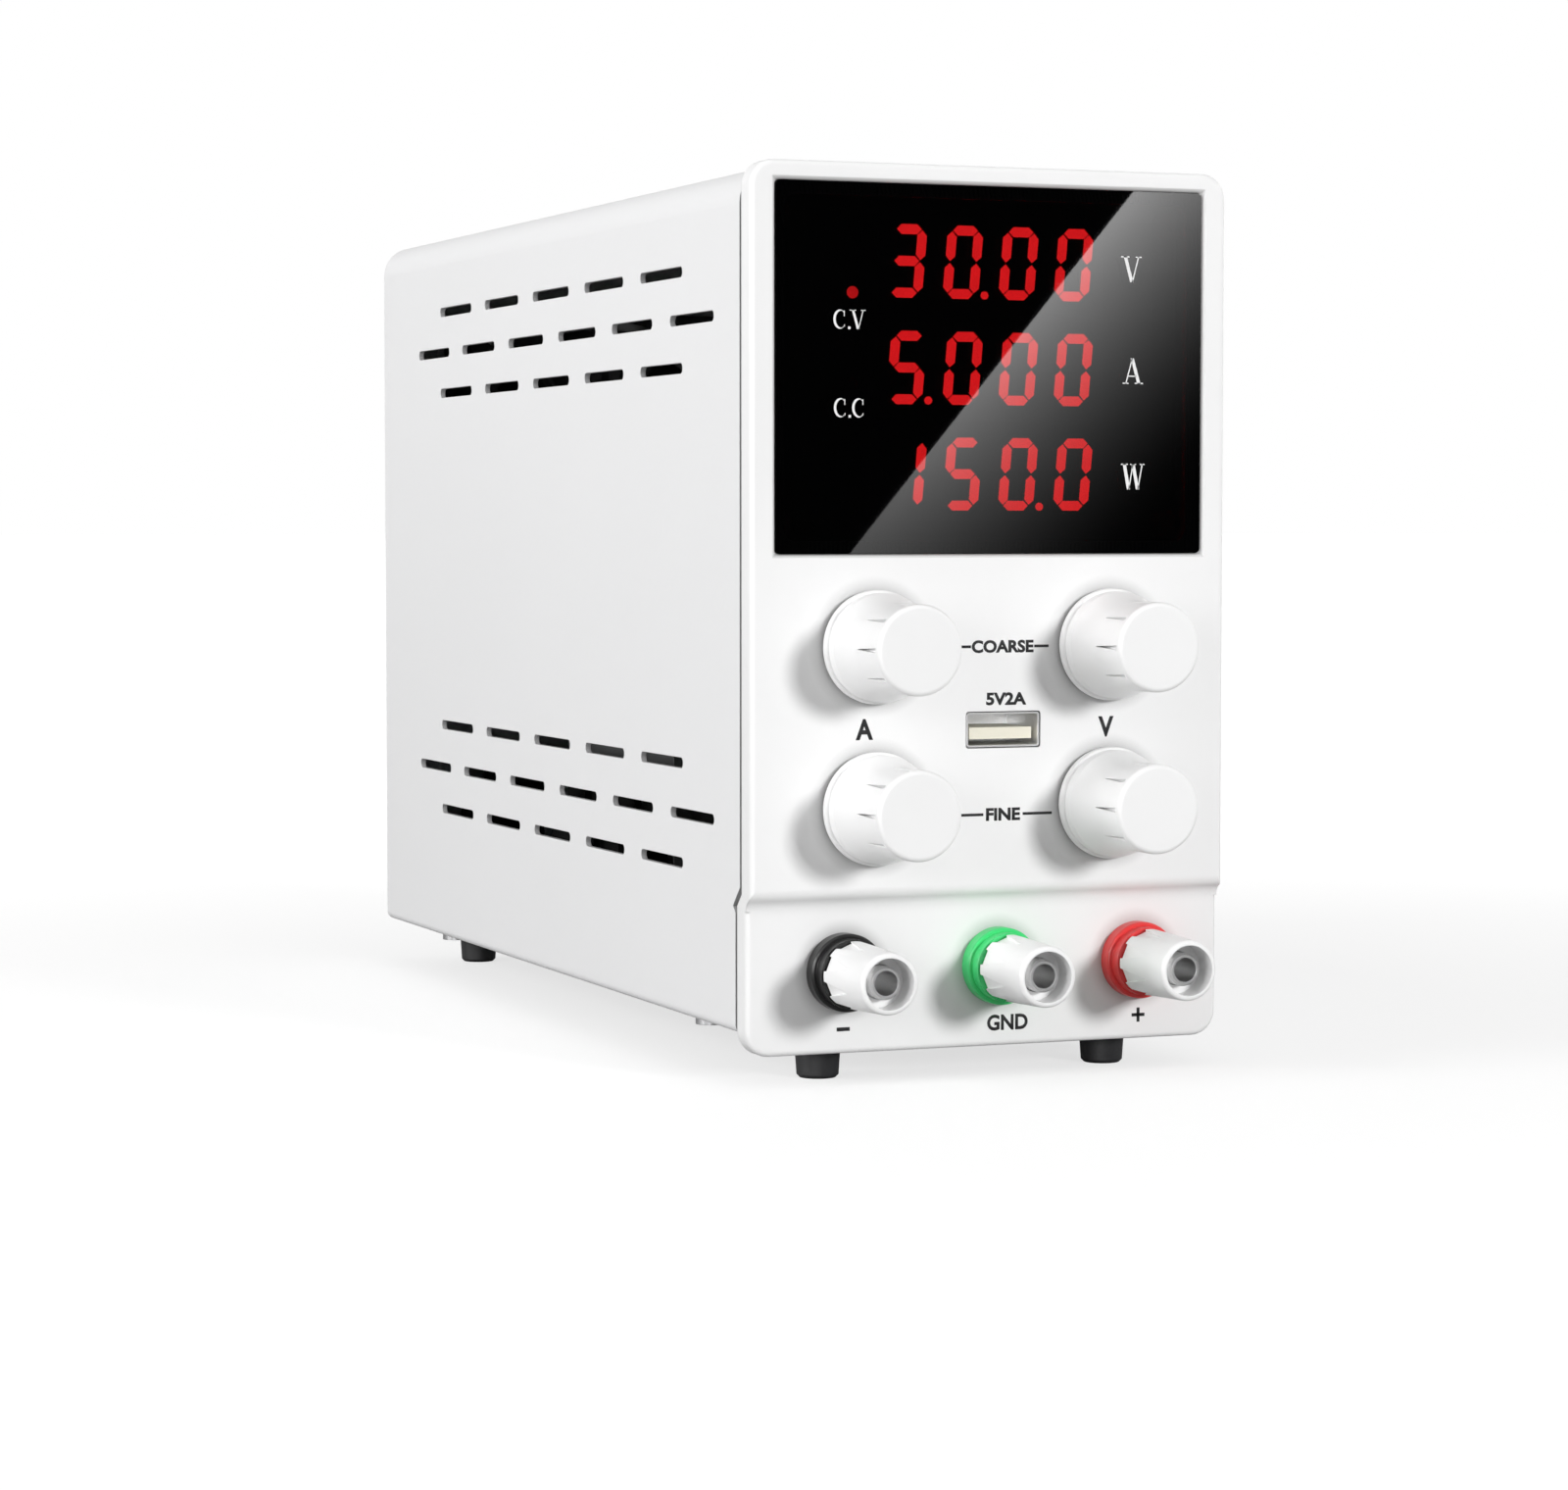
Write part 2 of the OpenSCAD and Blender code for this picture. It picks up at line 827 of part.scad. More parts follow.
module cover() {
  front = face_y + bezel_band + cover_gap;
  color("gainsboro")
    difference() {
      across(front, back_y)
        difference() {
          cover_outline(0);
          cover_outline(cover_t);
          translate([-case_x + flange_w, cover_low - 1])
            square([case_w - 2 * flange_w, 6]);
        }
      translate([-case_w, front - 1, cover_low - 1])
        cube([2 * case_w, field_step + 1, step_low - cover_low + 1]);
      translate([0, front, (step_low + step_high) / 2])
        rotate([-45, 0, 0])
          cube([2 * case_w, 3 * field_step, 0.01 + field_step * sqrt(2)], center = true);
      cover_vents();
      for (s = [-1, 1], y = cover_screw_y)
        translate([s * cover_screw_x, y, cover_low - 1])
          cylinder(r = screw_r + 0.05, h = 3);
    }
}

// Section of the bottom pan: a sheet with both sides bent up.
module pan_section(side_h) {
  bend = 1.6;
  difference() {
    bent_trough(pan_x, pan_low, side_h, bend);
    translate([0, pan_t])
      bent_trough(pan_x - pan_t, pan_low, side_h, bend - pan_t);
  }
}

module bent_trough(x, low, h, r) {
  translate([-x + r, low])
    square([2 * (x - r), h]);
  translate([-x, low + r])
    square([2 * x, h - r]);
  for (s = [-1, 1])
    translate([s * (x - r), low + r])
      circle(r);
}

// Bottom pan, with an upright at each corner for the bezel and the rear panel.
module chassis() {
  front = face_y + skirt_back + 0.4;
  side_h = 9;
  upright_w = 9.6;
  pan_slot_pitch = 12;
  color("silver")
    difference() {
      union() {
        across(front, panel_in)
          pan_section(side_h);
        for (s = [-1, 1]) {
          x0 = s > 0 ? pan_x - upright_w : -pan_x;
          translate([x0, upright_y, pan_low + pan_t / 2])
            cube([upright_w, pan_t, bezel_boss_z[1] + 5 - pan_low]);
          translate([x0, panel_in - pan_t, pan_low + pan_t / 2])
            cube([upright_w, pan_t, cover_top - 7 - pan_low]);
          x1 = s > 0 ? pan_x - upright_w : upright_w - pan_x - pan_t;
          translate([x1, upright_y, pan_low + pan_t / 2])
            cube([pan_t, 9, bezel_boss_z[1] + 5 - pan_low]);
          x2 = s > 0 ? pan_x - pan_t : -pan_x;
          translate([x2, panel_in - 9, pan_low + side_h / 2])
            cube([pan_t, 9, cover_top - 7 - pan_low - side_h / 2]);
        }
      }
      for (s = [-1, 1]) {
        for (y = foot_y)
          translate([s * foot_x, y, pan_low - 1])
            cylinder(r = 1.25, h = 4);
        for (y = cover_screw_y)
          translate([s * cover_screw_x, y, pan_low - 1])
            cylinder(r = screw_r + 0.05, h = 4);
        for (z = bezel_boss_z)
          translate([s * bezel_boss_x, upright_y - 1, z])
            rotate([-90, 0, 0])
              cylinder(r = screw_r + 0.05, h = 4);
        for (z = rear_screw_z)
          translate([s * rear_screw_x, panel_in - 3, z])
            rotate([-90, 0, 0])
              cylinder(r = screw_r + 0.05, h = 4);
      }
      for (i = [-3:3], s = [-1, 1])
        translate([s * 14, vent_mid_y + i * pan_slot_pitch, pan_low - 1])
          linear_extrude(4)
            slot(20, 3);
    }
}

// Sector-shaped air slots in rings, crossed by four spokes.
module fan_grille() {
  difference() {
    for (r = [8 : 5 : 23])
      difference() {
        circle(r + 3.4);
        circle(r);
      }
    for (a = [45, 135])
      rotate(a)
        square([2.4, fan_size], center = true);
  }
}

module rear_panel() {
  color("gainsboro")
    difference() {
      across(panel_in, back_y)
        difference() {
          cover_outline(cover_t + 0.1);
          for (s = [-1, 1], z = rear_screw_z)
            translate([s * rear_screw_x, z])
              circle(screw_r + 0.05);
          translate([0, fan_z])
            fan_grille();
          for (sx = [-1, 1], sz = [-1, 1])
            translate([sx * fan_hole / 2, fan_z + sz * fan_hole / 2])
              circle(1.8);
          translate([inlet_x, inlet_z])
            square([inlet_w - 3, inlet_h - 3], center = true);
          translate([switch_x, switch_z])
            square([switch_w + 0.2, switch_h + 0.2], center = true);
          translate([switch_x, selector_z])
            square([selector_w + 0.2, selector_h + 0.2], center = true);
        }
    }
}

// ---------- fan ----------

module fan_frame() {
  strut_w = 3;
  strut_t = 2.4;
  color("black")
    on_rear(0, panel_in, fan_z)
      translate([0, 0, -fan_t]) {
        difference() {
          linear_extrude(fan_t)
            round_rect(fan_size, fan_size, 4);
          translate([0, 0, -1])
            cylinder(d = fan_bore, h = fan_t + 2, $fn = 96);
          for (sx = [-1, 1], sy = [-1, 1])
            translate([sx * fan_hole / 2, sy * fan_hole / 2, -1])
              cylinder(r = 2.1, h = fan_t + 2);
          for (a = [0:90:270])
            rotate(a)
              translate([fan_size / 2, 0, fan_t / 2])
                cube([2.4, fan_size - 24, fan_t - 7], center = true);
        }
        cylinder(r = fan_hub_r + 0.4, h = strut_t);
        translate([0, 0, strut_t])
          cylinder(r = spindle_r, h = 12);
        for (a = [0:90:270])
          rotate(a + 20)
            translate([11, -strut_w / 2, 0])
              cube([fan_bore / 2 - 10.5, strut_w, strut_t]);
      }
}

// Hub with a well for the motor spindle and seven swept blades.
module fan_rotor() {
  hub_l = 14.6;
  dome = 1.2;
  blade_l = 13;
  color("black")
    on_rear(0, panel_in, fan_z)
      translate([0, 0, -fan_t + 3.2]) {
        difference() {
          union() {
            cylinder(r = fan_hub_r, h = hub_l);
            translate([0, 0, hub_l])
              cylinder(r1 = fan_hub_r, r2 = fan_hub_r - dome, h = dome);
          }
          translate([0, 0, -1])
            cylinder(r = spindle_r + 0.05, h = hub_l - 1);
        }
        for (a = [0 : 360 / blades : 359])
          rotate(a)
            translate([0, 0, 1.2])
              linear_extrude(blade_l, twist = blade_sweep, slices = 4, $fn = 4)
                translate([fan_hub_r - 0.8, -blade_t / 2])
                  square([fan_bore / 2 - fan_hub_r - 0.5, blade_t]);
      }
}

module fan_screws() {
  color("silver")
    for (sx = [-1, 1], sz = [-1, 1])
      on_rear(sx * fan_hole / 2, back_y, fan_z + sz * fan_hole / 2)
        screw(3.2, 1.8, 1.7, fan_t - 2);
}

// ---------- mains inlet ----------

// Mouth of a C14 inlet: a rectangle with its two earth-side corners cut off.
module inlet_mouth() {
  w = 24;
  h = 16.6;
  c = 4;
  polygon([[-w / 2, -h / 2], [w / 2, -h / 2], [w / 2, h / 2 - c], [w / 2 - c, h / 2],
    [-w / 2 + c, h / 2], [-w / 2, h / 2 - c]]);
}

socket_z = 8;
drawer_z = -12.6;
drawer_w = 21;
drawer_h = 8.4;
inlet_flange = 2.8;
inlet_lug = 15;
lug_w = 4.8;
lug_t = 0.8;
mouth_depth = 17;
drawer_depth = 21;
inlet_pin_at = [[-7, -2], [0, 2], [7, -2]];       // live, earth and neutral

module inlet_housing() {
  body_d = 21;
  color("dimgray")
    on_rear(inlet_x, back_y, inlet_z)
      difference() {
        union() {
          linear_extrude(inlet_flange)
            round_rect(inlet_w, inlet_h, 2);
          translate([0, 0, -body_d])
            linear_extrude(body_d)
              square([inlet_w - 3.4, inlet_h - 3.4], center = true);
        }
        translate([0, socket_z, inlet_flange - mouth_depth])
          linear_extrude(mouth_depth + 1)
            offset_mouth();
        translate([0, drawer_z, inlet_flange - drawer_depth])
          linear_extrude(drawer_depth + 1)
            square([drawer_w, drawer_h], center = true);
        for (p = inlet_pin_at)
          translate([p[0], socket_z + p[1], inlet_flange - mouth_depth - inlet_lug / 2])
            cube([lug_t, lug_w, inlet_lug + eps], center = true);
      }
}

// The mouth shrunk a little, so that a wall is left round it.
module offset_mouth() {
  scale(0.94)
    inlet_mouth();
}

module inlet_pins() {
  blade_l = 13;
  color("silver")
    on_rear(inlet_x, back_y, inlet_z)
      for (p = inlet_pin_at)
        translate([p[0], socket_z + p[1], inlet_flange - mouth_depth]) {
          translate([0, 0, blade_l / 2])
            cube([2, 4, blade_l], center = true);
          translate([0, 0, -inlet_lug / 2])
            cube([lug_t, lug_w, inlet_lug], center = true);
        }
}

module fuse_drawer() {
  play = 0.3;
  color("black")
    on_rear(inlet_x, back_y, inlet_z)
      translate([0, drawer_z, inlet_flange]) {
        difference() {
          translate([-drawer_w / 2 + play, -drawer_h / 2 + play, -19])
            cube([drawer_w - 2 * play, drawer_h - 2 * play, 19]);
          translate([-drawer_w / 2 + 1.6, -2.75, -17.4])
            cube([drawer_w - 3.2, drawer_h, 6.6]);
          translate([-3, drawer_h / 2 - 1.6, -1.2])
            cube([6, 2, 2]);
        }
        translate([0, -0.6, 0.35])
          cube([12, 2.4, 0.7], center = true);
      }
}

module fuse() {
  color("silver")
    on_rear(inlet_x, back_y, inlet_z)
      translate([0, drawer_z - 0.25, inlet_flange - 14.1])
        rotate([0, 90, 0]) {
          for (s = [-1, 1])
            translate([0, 0, s * 6.2])
              cylinder(r = 2.5, h = 5, center = true);
          cylinder(r = 2.2, h = 8, center = true);
        }
}

// ---------- power switch and voltage selector ----------

module switch_housing() {
  color("black")
    on_rear(switch_x, back_y, switch_z)
      difference() {
        union() {
          linear_extrude(1.6)
            round_rect(switch_w + 2, switch_h + 1.8, 1);
          translate([0, 0, -17])
            linear_extrude(17)
              square([switch_w, switch_h], center = true);
          for (i = [-1, 1])
            translate([0, i * 4, -20])
              cube([lug_w, lug_t, 12], center = true);
        }
        difference() {
          translate([0, 0, -8])
            linear_extrude(12)
              square([rocker_w + 0.8, rocker_l + 2.2], center = true);
          for (s = [-1, 1])
            translate([s * rocker_w / 2, 0, -rocker_set])
              rotate([0, 90, 0])
                cylinder(r = 1.15, h = 3, center = true);
        }
      }
}

// The rocker's two halves meet in a shallow V. At rest the ON half is pressed in.
module power_rocker() {
  color("black")
    on_rear(switch_x, back_y, switch_z)
      translate([0, 0, -rocker_set])
        rotate([rocker_tilt, 0, 0])
          difference() {
            rotate([90, 0, 90])
              linear_extrude(rocker_w, center = true)
                polygon([[-rocker_l / 2, 2.6], [-rocker_l / 2, rocker_rise], [0, 2.6],
                  [rocker_l / 2, rocker_rise], [rocker_l / 2, 2.6], [2.6, -4.2], [-2.6, -4.2]]);
            rotate([0, 90, 0])
              cylinder(r = 1.2, h = 2 * rocker_w, center = true);
          }
}

module selector_housing() {
  color("black")
    on_rear(switch_x, back_y, selector_z)
      difference() {
        union() {
          translate([0, 0, -selector_l])
            linear_extrude(selector_l - 0.2)
              square([selector_w, selector_h], center = true);
          translate([0, 0, -selector_l])
            linear_extrude(selector_l - panel_t)
              square([selector_w + 7, selector_h + 2], center = true);
        }
        translate([0, 0, -2.6])
          linear_extrude(4)
            square([8.6, 4], center = true);
      }
}

selector_travel = 3.6;

module selector_slider() {
  color("red")
    on_rear(switch_x, back_y, selector_z)
      difference() {
        translate([-selector_travel / 2, 0, -1.5])
          cube([4.6, 3.6, 2], center = true);
        translate([-selector_travel / 2, 0, -0.5])
          cube([1, 2.6, 1.2], center = true);
      }
}

// ---------- power electronics ----------

module main_board() {
  color("darkgreen")
    difference() {
      translate([-board_w / 2, board_front, board_z])
        cube([board_w, board_back - board_front, board_t]);
      for (s = [-1, 1], y = [board_front + board_inset, board_back - board_inset])
        translate([s * (board_w / 2 - board_inset), y, board_z - 1])
          cylinder(r = 1.6, h = 4);
    }
}

module board_standoffs() {
  color("goldenrod")
    for (s = [-1, 1], y = [board_front + board_inset, board_back - board_inset])
      translate([s * (board_w / 2 - board_inset), y, pan_low + pan_t]) {
        cylinder(r = 3, h = board_z - pan_low - pan_t, $fn = 6);
        cylinder(r = 1.5, h = board_top - pan_low - pan_t + 0.4);
        translate([0, 0, board_top - pan_low - pan_t])
          cylinder(r = 2.8, h = 1.6);
      }
}

transformer_at = [0, face_y + 97, board_top];
core_l = 42;
core_h = 40;
core_t = 15;
leg_w = 12;
winding_gap = 0.05;

// Two E halves: an outer frame with a round middle leg that the winding sits on.
module transformer_core() {
  color("dimgray")
    translate(transformer_at)
      translate([0, 0, core_h / 2])
        rotate([90, 0, 0]) {
          linear_extrude(core_t, center = true)
            difference() {
              square([core_l, core_h], center = true);
              square([core_l - leg_w, core_h - leg_w], center = true);
            }
          rotate([90, 0, 0])
            cylinder(d = leg_w, h = core_h - leg_w + 2 * eps, center = true);
        }
}

module transformer_winding() {
  h = core_h - leg_w - 2 * winding_gap;
  color("goldenrod")
    translate(transformer_at)
      translate([0, 0, core_h / 2]) {
        rotate_extrude()
          difference() {
            translate([leg_w / 2 + winding_gap, -h / 2])
              square([(core_l - leg_w) / 2 - leg_w / 2 - 0.3, h]);
            for (z = [-1, 1])
              translate([(core_l - leg_w) / 2, z * h / 3.4])
                square([2, 1.2], center = true);
          }
      }
}

module can(r, h) {
  rotate_extrude()
    difference() {
      square([r, h]);
      translate([r + 0.3, h - 4])
        circle(0.9);
      translate([0, h - 0.5])
        square([r - 1.2, 1]);
    }
}

module bulk_capacitors() {
  color("midnightblue")
    for (s = [-1, 1])
      translate([s * 13, face_y + 134, board_top])
        can(11, 42);
}

module output_capacitors() {
  color("black")
    for (i = [-1:1])
      translate([i * 19, face_y + 41, board_top])
        can(8, 31);
}

sink_x = 33;
sink_y = face_y + 58;
sink_l = 58;
sink_base_t = 3;
sink_h = 52;

module heatsinks() {
  fin_l = 9;
  fin_t = 1.4;
  fins = 8;
  color("silver")
    for (s = [-1, 1])
      translate([s * sink_x, sink_y, board_top])
        linear_extrude(sink_h) {
          translate([-sink_base_t / 2, 0])
            square([sink_base_t, sink_l]);
          for (i = [0 : fins - 1])
            translate([s > 0 ? -fin_l : 0, (i + 0.5) * sink_l / fins - fin_t / 2])
              square([fin_l, fin_t]);
        }
}

module power_transistors() {
  color("black")
    for (s = [-1, 1], i = [0:3])
      translate([s * (sink_x + sink_base_t / 2), sink_y + 8 + i * 13.8, board_top + 12]) {
        translate([s > 0 ? 0 : -4.4, -5, 0])
          cube([4.4, 10, 9]);
        translate([s > 0 ? 0 : -1.3, -5, 8.9])
          cube([1.3, 10, 6.4]);
        for (k = [-2.54, 0, 2.54])
          translate([s > 0 ? 2 : -2.6, k - 0.4, -12])
            cube([0.6, 0.8, 12.1]);
      }
}

// Toroid lying on the board, its winding drawn as close turns round the ring.
module output_choke() {
  ring_r = 10;
  core_r = 4.4;
  turns = 22;
  color("darkorange")
    translate([0, face_y + 65, board_top + core_r + 0.8]) {
      rotate_extrude()
        translate([ring_r, 0])
          square([2 * core_r - 1, 2 * core_r - 1.4], center = true);
      for (i = [0 : turns - 1])
        rotate(i * 360 / turns)
          translate([ring_r, 0, 0])
            cube([2 * core_r + 1, 1.1, 2 * core_r + 0.6], center = true);
      translate([0, 0, -core_r / 2 - 0.4])
        cylinder(r = 4, h = core_r + 0.8, center = true);
    }
}

module control_board() {
  low = knob_z[1] - 16;
  high = knob_z[0] + 9;
  color("darkgreen")
    difference() {
      translate([-control_board_w / 2, control_board_y, low])
        cube([control_board_w, board_t, high - low]);
      for (s = [-1, 1])
        on_front(s * board_boss_x, control_board_y + board_t + 1, board_boss_z)
          cylinder(r = 1.3, h = board_t + 2);
    }
}

// ---------- feet and screws ----------

module feet() {
  r = 4.1;
  color("black")
    for (s = [-1, 1], y = foot_y)
      translate([s * foot_x, y, 0])
        difference() {
          rotate_extrude()
            polygon([[0, 0], [r - 1.1, 0], [r - 0.6, 0.5], [r, pan_low - 0.4], [r, pan_low], [0, pan_low]]);
          translate([0, 0, -1])
            cylinder(r = 2, h = 4);
          translate([0, 0, -1])
            cylinder(r = 1.2, h = pan_low + 2);
        }
}

module foot_screws() {
  color("silver")
    for (s = [-1, 1], y = foot_y)
      translate([s * foot_x, y, 3])
        mirror([0, 0, 1])
          screw(1.9, 1.2, 1.2, pan_low + pan_t + 1.4 - 3, 0.5);
}

// The twelve screws that hold the rear panel, the cover and the bezel to the chassis.
module case_screws() {
  head_r = 2.6;
  head_h = 1.5;
  color("silver")
    for (s = [-1, 1]) {
      for (z = rear_screw_z)
        on_rear(s * rear_screw_x, back_y, z)
          screw(head_r, head_h, screw_r, panel_t + pan_t + 1.5);
      for (y = cover_screw_y)
        translate([s * cover_screw_x, y, cover_low])
          mirror([0, 0, 1])
            screw(head_r, head_h, screw_r, cover_t + pan_t + 1.5);
      for (z = bezel_boss_z)
        on_rear(s * bezel_boss_x, upright_y + pan_t, z)
          screw(head_r, head_h, screw_r, pan_t + 6);
    }
}

// ---------- nodes ----------

front_bezel();
display_window();
cover();
chassis();
rear_panel();
knob(-knob_dx / 2, knob_z[0]);  // knob_current_coarse
knob(knob_dx / 2, knob_z[0]);  // knob_voltage_coarse
knob(-knob_dx / 2, knob_z[1]);  // knob_current_fine
knob(knob_dx / 2, knob_z[1]);  // knob_voltage_fine
shaft(-knob_dx / 2, knob_z[0]);  // shaft_current_coarse
shaft(knob_dx / 2, knob_z[0]);  // shaft_voltage_coarse
shaft(-knob_dx / 2, knob_z[1]);  // shaft_current_fine
shaft(knob_dx / 2, knob_z[1]);  // shaft_voltage_fine
potentiometers();
pot_nuts();
usb_shell();
usb_tongue();
post_cap(post_x[0]);  // post_cap_negative
post_cap(post_x[1]);  // post_cap_ground
post_cap(post_x[2]);  // post_cap_positive
post_insert(post_x[0]);  // post_insert_negative
post_insert(post_x[1]);  // post_insert_ground
post_insert(post_x[2]);  // post_insert_positive
post_stud(post_x[0]);  // post_stud_negative
post_stud(post_x[1]);  // post_stud_ground
post_stud(post_x[2]);  // post_stud_positive
post_collar(post_x[0], "black");  // post_collar_negative
post_collar(post_x[1], "limegreen");  // post_collar_ground
post_collar(post_x[2], "red");  // post_collar_positive
post_nuts();
digit_modules();
digits_lit();
digits_dark();
mode_leds();
display_board();
control_board();
main_board();
board_standoffs();
transformer_core();
transformer_winding();
bulk_capacitors();
output_capacitors();
heatsinks();
power_transistors();
output_choke();
fan_frame();
fan_rotor();
fan_screws();
inlet_housing();
inlet_pins();
fuse_drawer();
fuse();
power_rocker();
switch_housing();
selector_housing();
selector_slider();
feet();
foot_screws();
case_screws();
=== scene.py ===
import json
import math

import bpy
from mathutils import Matrix, Vector
from mathutils.bvhtree import BVHTree


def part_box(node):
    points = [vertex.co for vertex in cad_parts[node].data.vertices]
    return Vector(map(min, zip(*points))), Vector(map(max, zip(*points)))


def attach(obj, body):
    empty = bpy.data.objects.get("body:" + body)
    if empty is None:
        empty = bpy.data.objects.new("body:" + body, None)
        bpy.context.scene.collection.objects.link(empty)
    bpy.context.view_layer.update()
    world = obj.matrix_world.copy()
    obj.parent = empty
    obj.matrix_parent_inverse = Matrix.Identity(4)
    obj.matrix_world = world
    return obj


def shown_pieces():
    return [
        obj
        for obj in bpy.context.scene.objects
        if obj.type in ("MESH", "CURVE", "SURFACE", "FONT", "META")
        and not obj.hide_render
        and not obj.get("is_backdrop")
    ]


bl_info = {
    "name": "Bench Supply Dresser",
    "version": (1, 0, 0),
    "blender": (4, 5, 0),
    "location": "View3D > Sidebar > Supply",
    "description": "Finishes, printed marks and a studio stage for a bench power supply",
    "category": "Object",
}

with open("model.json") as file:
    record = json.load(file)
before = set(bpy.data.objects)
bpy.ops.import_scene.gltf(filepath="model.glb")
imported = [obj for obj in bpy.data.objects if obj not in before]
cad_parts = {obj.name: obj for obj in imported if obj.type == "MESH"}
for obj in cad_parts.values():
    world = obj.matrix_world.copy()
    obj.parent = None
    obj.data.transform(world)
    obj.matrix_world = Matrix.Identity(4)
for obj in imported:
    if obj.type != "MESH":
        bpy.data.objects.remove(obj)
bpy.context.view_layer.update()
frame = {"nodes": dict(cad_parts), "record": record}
nodes = frame["nodes"]
base_colours = {m["slot"]: m["base_color"] for m in frame["record"]["materials"]}
node_slots = {s["node"]: s["material_slot"] for s in frame["record"]["subparts"]}

MM = 0.001
ROOT = "case"

# Shares by which some of the record's colours are made lighter or darker. The unlit segments, the
# module's resin and the heatsinks are darkened as painted shade, for the dark inside of the case
# seen through the window and the slots.
TONES_AND_PAINTED_SHADE = {"digit_dark": 0.3, "module_black": 0.15, "aluminium": 0.4, "collar_black": 0.3,
         "collar_green": 1.1}

# Lamps: place, the place it points at, size, and the kind of ray that misses it.
LAMPS = {
    "key": ((0.50, -1.43, 0.36), (0.0, -0.1, 0.08), 0.24, "visible_glossy"),
    "glint": ((-0.75, -1.25, 0.25), (0.0, -0.1, 0.05), 0.35, "visible_diffuse"),
    "fill": ((-1.5, -0.25, 0.5), (0.0, 0.0, 0.08), 0.8, None),
}

SHADE_GAP_DEPTH = 2.5 * MM                    # gaps and corners narrower than this get painted shade

FLOOR_SIZE = 60
FLOOR_NEAR, FLOOR_FAR = 0.13, 0.50      # where the floor starts to turn white, and is white
FLOOR_GLOW = 0.68                       # the near floor's own light, as a share of white

# The card that the window mirrors. Places are shares of the window's width and height.
CARD_REACH = 0.08, 0.1                  # how far the card goes past the window's sides
EDGE_ABOVE, EDGE_BELOW = 0.839, 0.164   # where its bright part begins, at the top and bottom
DARK_CORNER = 0.95, 0.06                # where its light has faded away
FADE = 3.1                              # how fast the light fades across the card
GLOW_BELOW = 0.21                       # the light at the bottom, as a share of the top's

# Image points: pixels of the photograph's frame scaled to a long side of 1568.
IMAGE_W, IMAGE_H = 1568.0, 1489.6
IMAGE_LONG = max(IMAGE_W, IMAGE_H)
OUTLINE = {"left": 384.2, "right": 1224.1, "top": 158.7, "bottom": 1078.7}
POINTS = {
    "window_top_left": (775.9, 179.3),
    "window_bottom_right": (1199.3, 552.5),
    "knob_current_coarse": (920.1, 650.3),
    "post_cap_positive": (1188.8, 970.5),
    "word_coarse": (1002.7, 646.2),
    "word_fine": (1003.0, 813.9),
    "port_rating": (1006.2, 698.5),
    "mark_current": (864.4, 729.4),
    "mark_voltage": (1105.8, 726.2),
    "mark_minus": (843.2, 1029.0),
    "mark_ground": (1007.4, 1021.7),
    "mark_plus": (1138.0, 1014.3),
    "unit_volt": (1131.9, 269.3),
    "unit_watt": (1132.9, 476.5),
    "mode_voltage": (849.2, 319.2),
    "mode_current": (849.7, 407.7),
}


# ---------- properties ----------


class SupplyMarks(bpy.types.PropertyGroup):
    """Sizes of the printed marks."""

    ink_height: bpy.props.FloatProperty(
        name="Ink height", description="How far the print stands on the surface",
        default=0.03 * MM, unit="LENGTH", precision=6)
    word_height: bpy.props.FloatProperty(
        name="Word height", description="Height of the words and the port's rating",
        default=2.1 * MM, unit="LENGTH", precision=6)
    mark_height: bpy.props.FloatProperty(
        name="Mark height", description="Height of the A and V between the knobs",
        default=3.4 * MM, unit="LENGTH", precision=6)
    ground_height: bpy.props.FloatProperty(
        name="Ground height", description="Height of GND",
        default=2.65 * MM, unit="LENGTH", precision=6)
    unit_height: bpy.props.FloatProperty(
        name="Unit height", description="Height of V, A and W in the window",
        default=4.25 * MM, unit="LENGTH", precision=6)
    mode_height: bpy.props.FloatProperty(
        name="Mode height", description="Height of C.V and C.C in the window",
        default=3.1 * MM, unit="LENGTH", precision=6)


class SupplyLook(bpy.types.PropertyGroup):
    """Colours and strengths of the main finishes."""

    bezel: bpy.props.FloatVectorProperty(
        name="Bezel", description="Moulded front", subtype="COLOR", size=3, min=0, max=1,
        default=base_colours["bezel_white"][:3])
    cover: bpy.props.FloatVectorProperty(
        name="Cover", description="Painted sheet", subtype="COLOR", size=3, min=0, max=1,
        default=base_colours["cover_paint"][:3])
    knob: bpy.props.FloatVectorProperty(
        name="Knobs", description="Knobs and post caps", subtype="COLOR", size=3, min=0, max=1,
        default=base_colours["knob_white"][:3])
    window: bpy.props.FloatVectorProperty(
        name="Window", description="Tint of the window", subtype="COLOR", size=3, min=0, max=1,
        default=(0.0006, 0.0006, 0.0007))
    digit: bpy.props.FloatVectorProperty(
        name="Digits", description="Light of the lit segments", subtype="COLOR", size=3, min=0,
        max=1, default=(1.0, 0.014, 0.018))
    digit_strength: bpy.props.FloatProperty(
        name="Digit strength", description="Strength of the lit segments", default=45.0, min=0)
    mode_strength: bpy.props.FloatProperty(
        name="Mode light strength", description="Strength of the lit mode light", default=31.0,
        min=0)
    window_alpha: bpy.props.FloatProperty(
        name="Window density", description="How much of the light each face of the window stops",
        default=0.88, min=0, max=1)


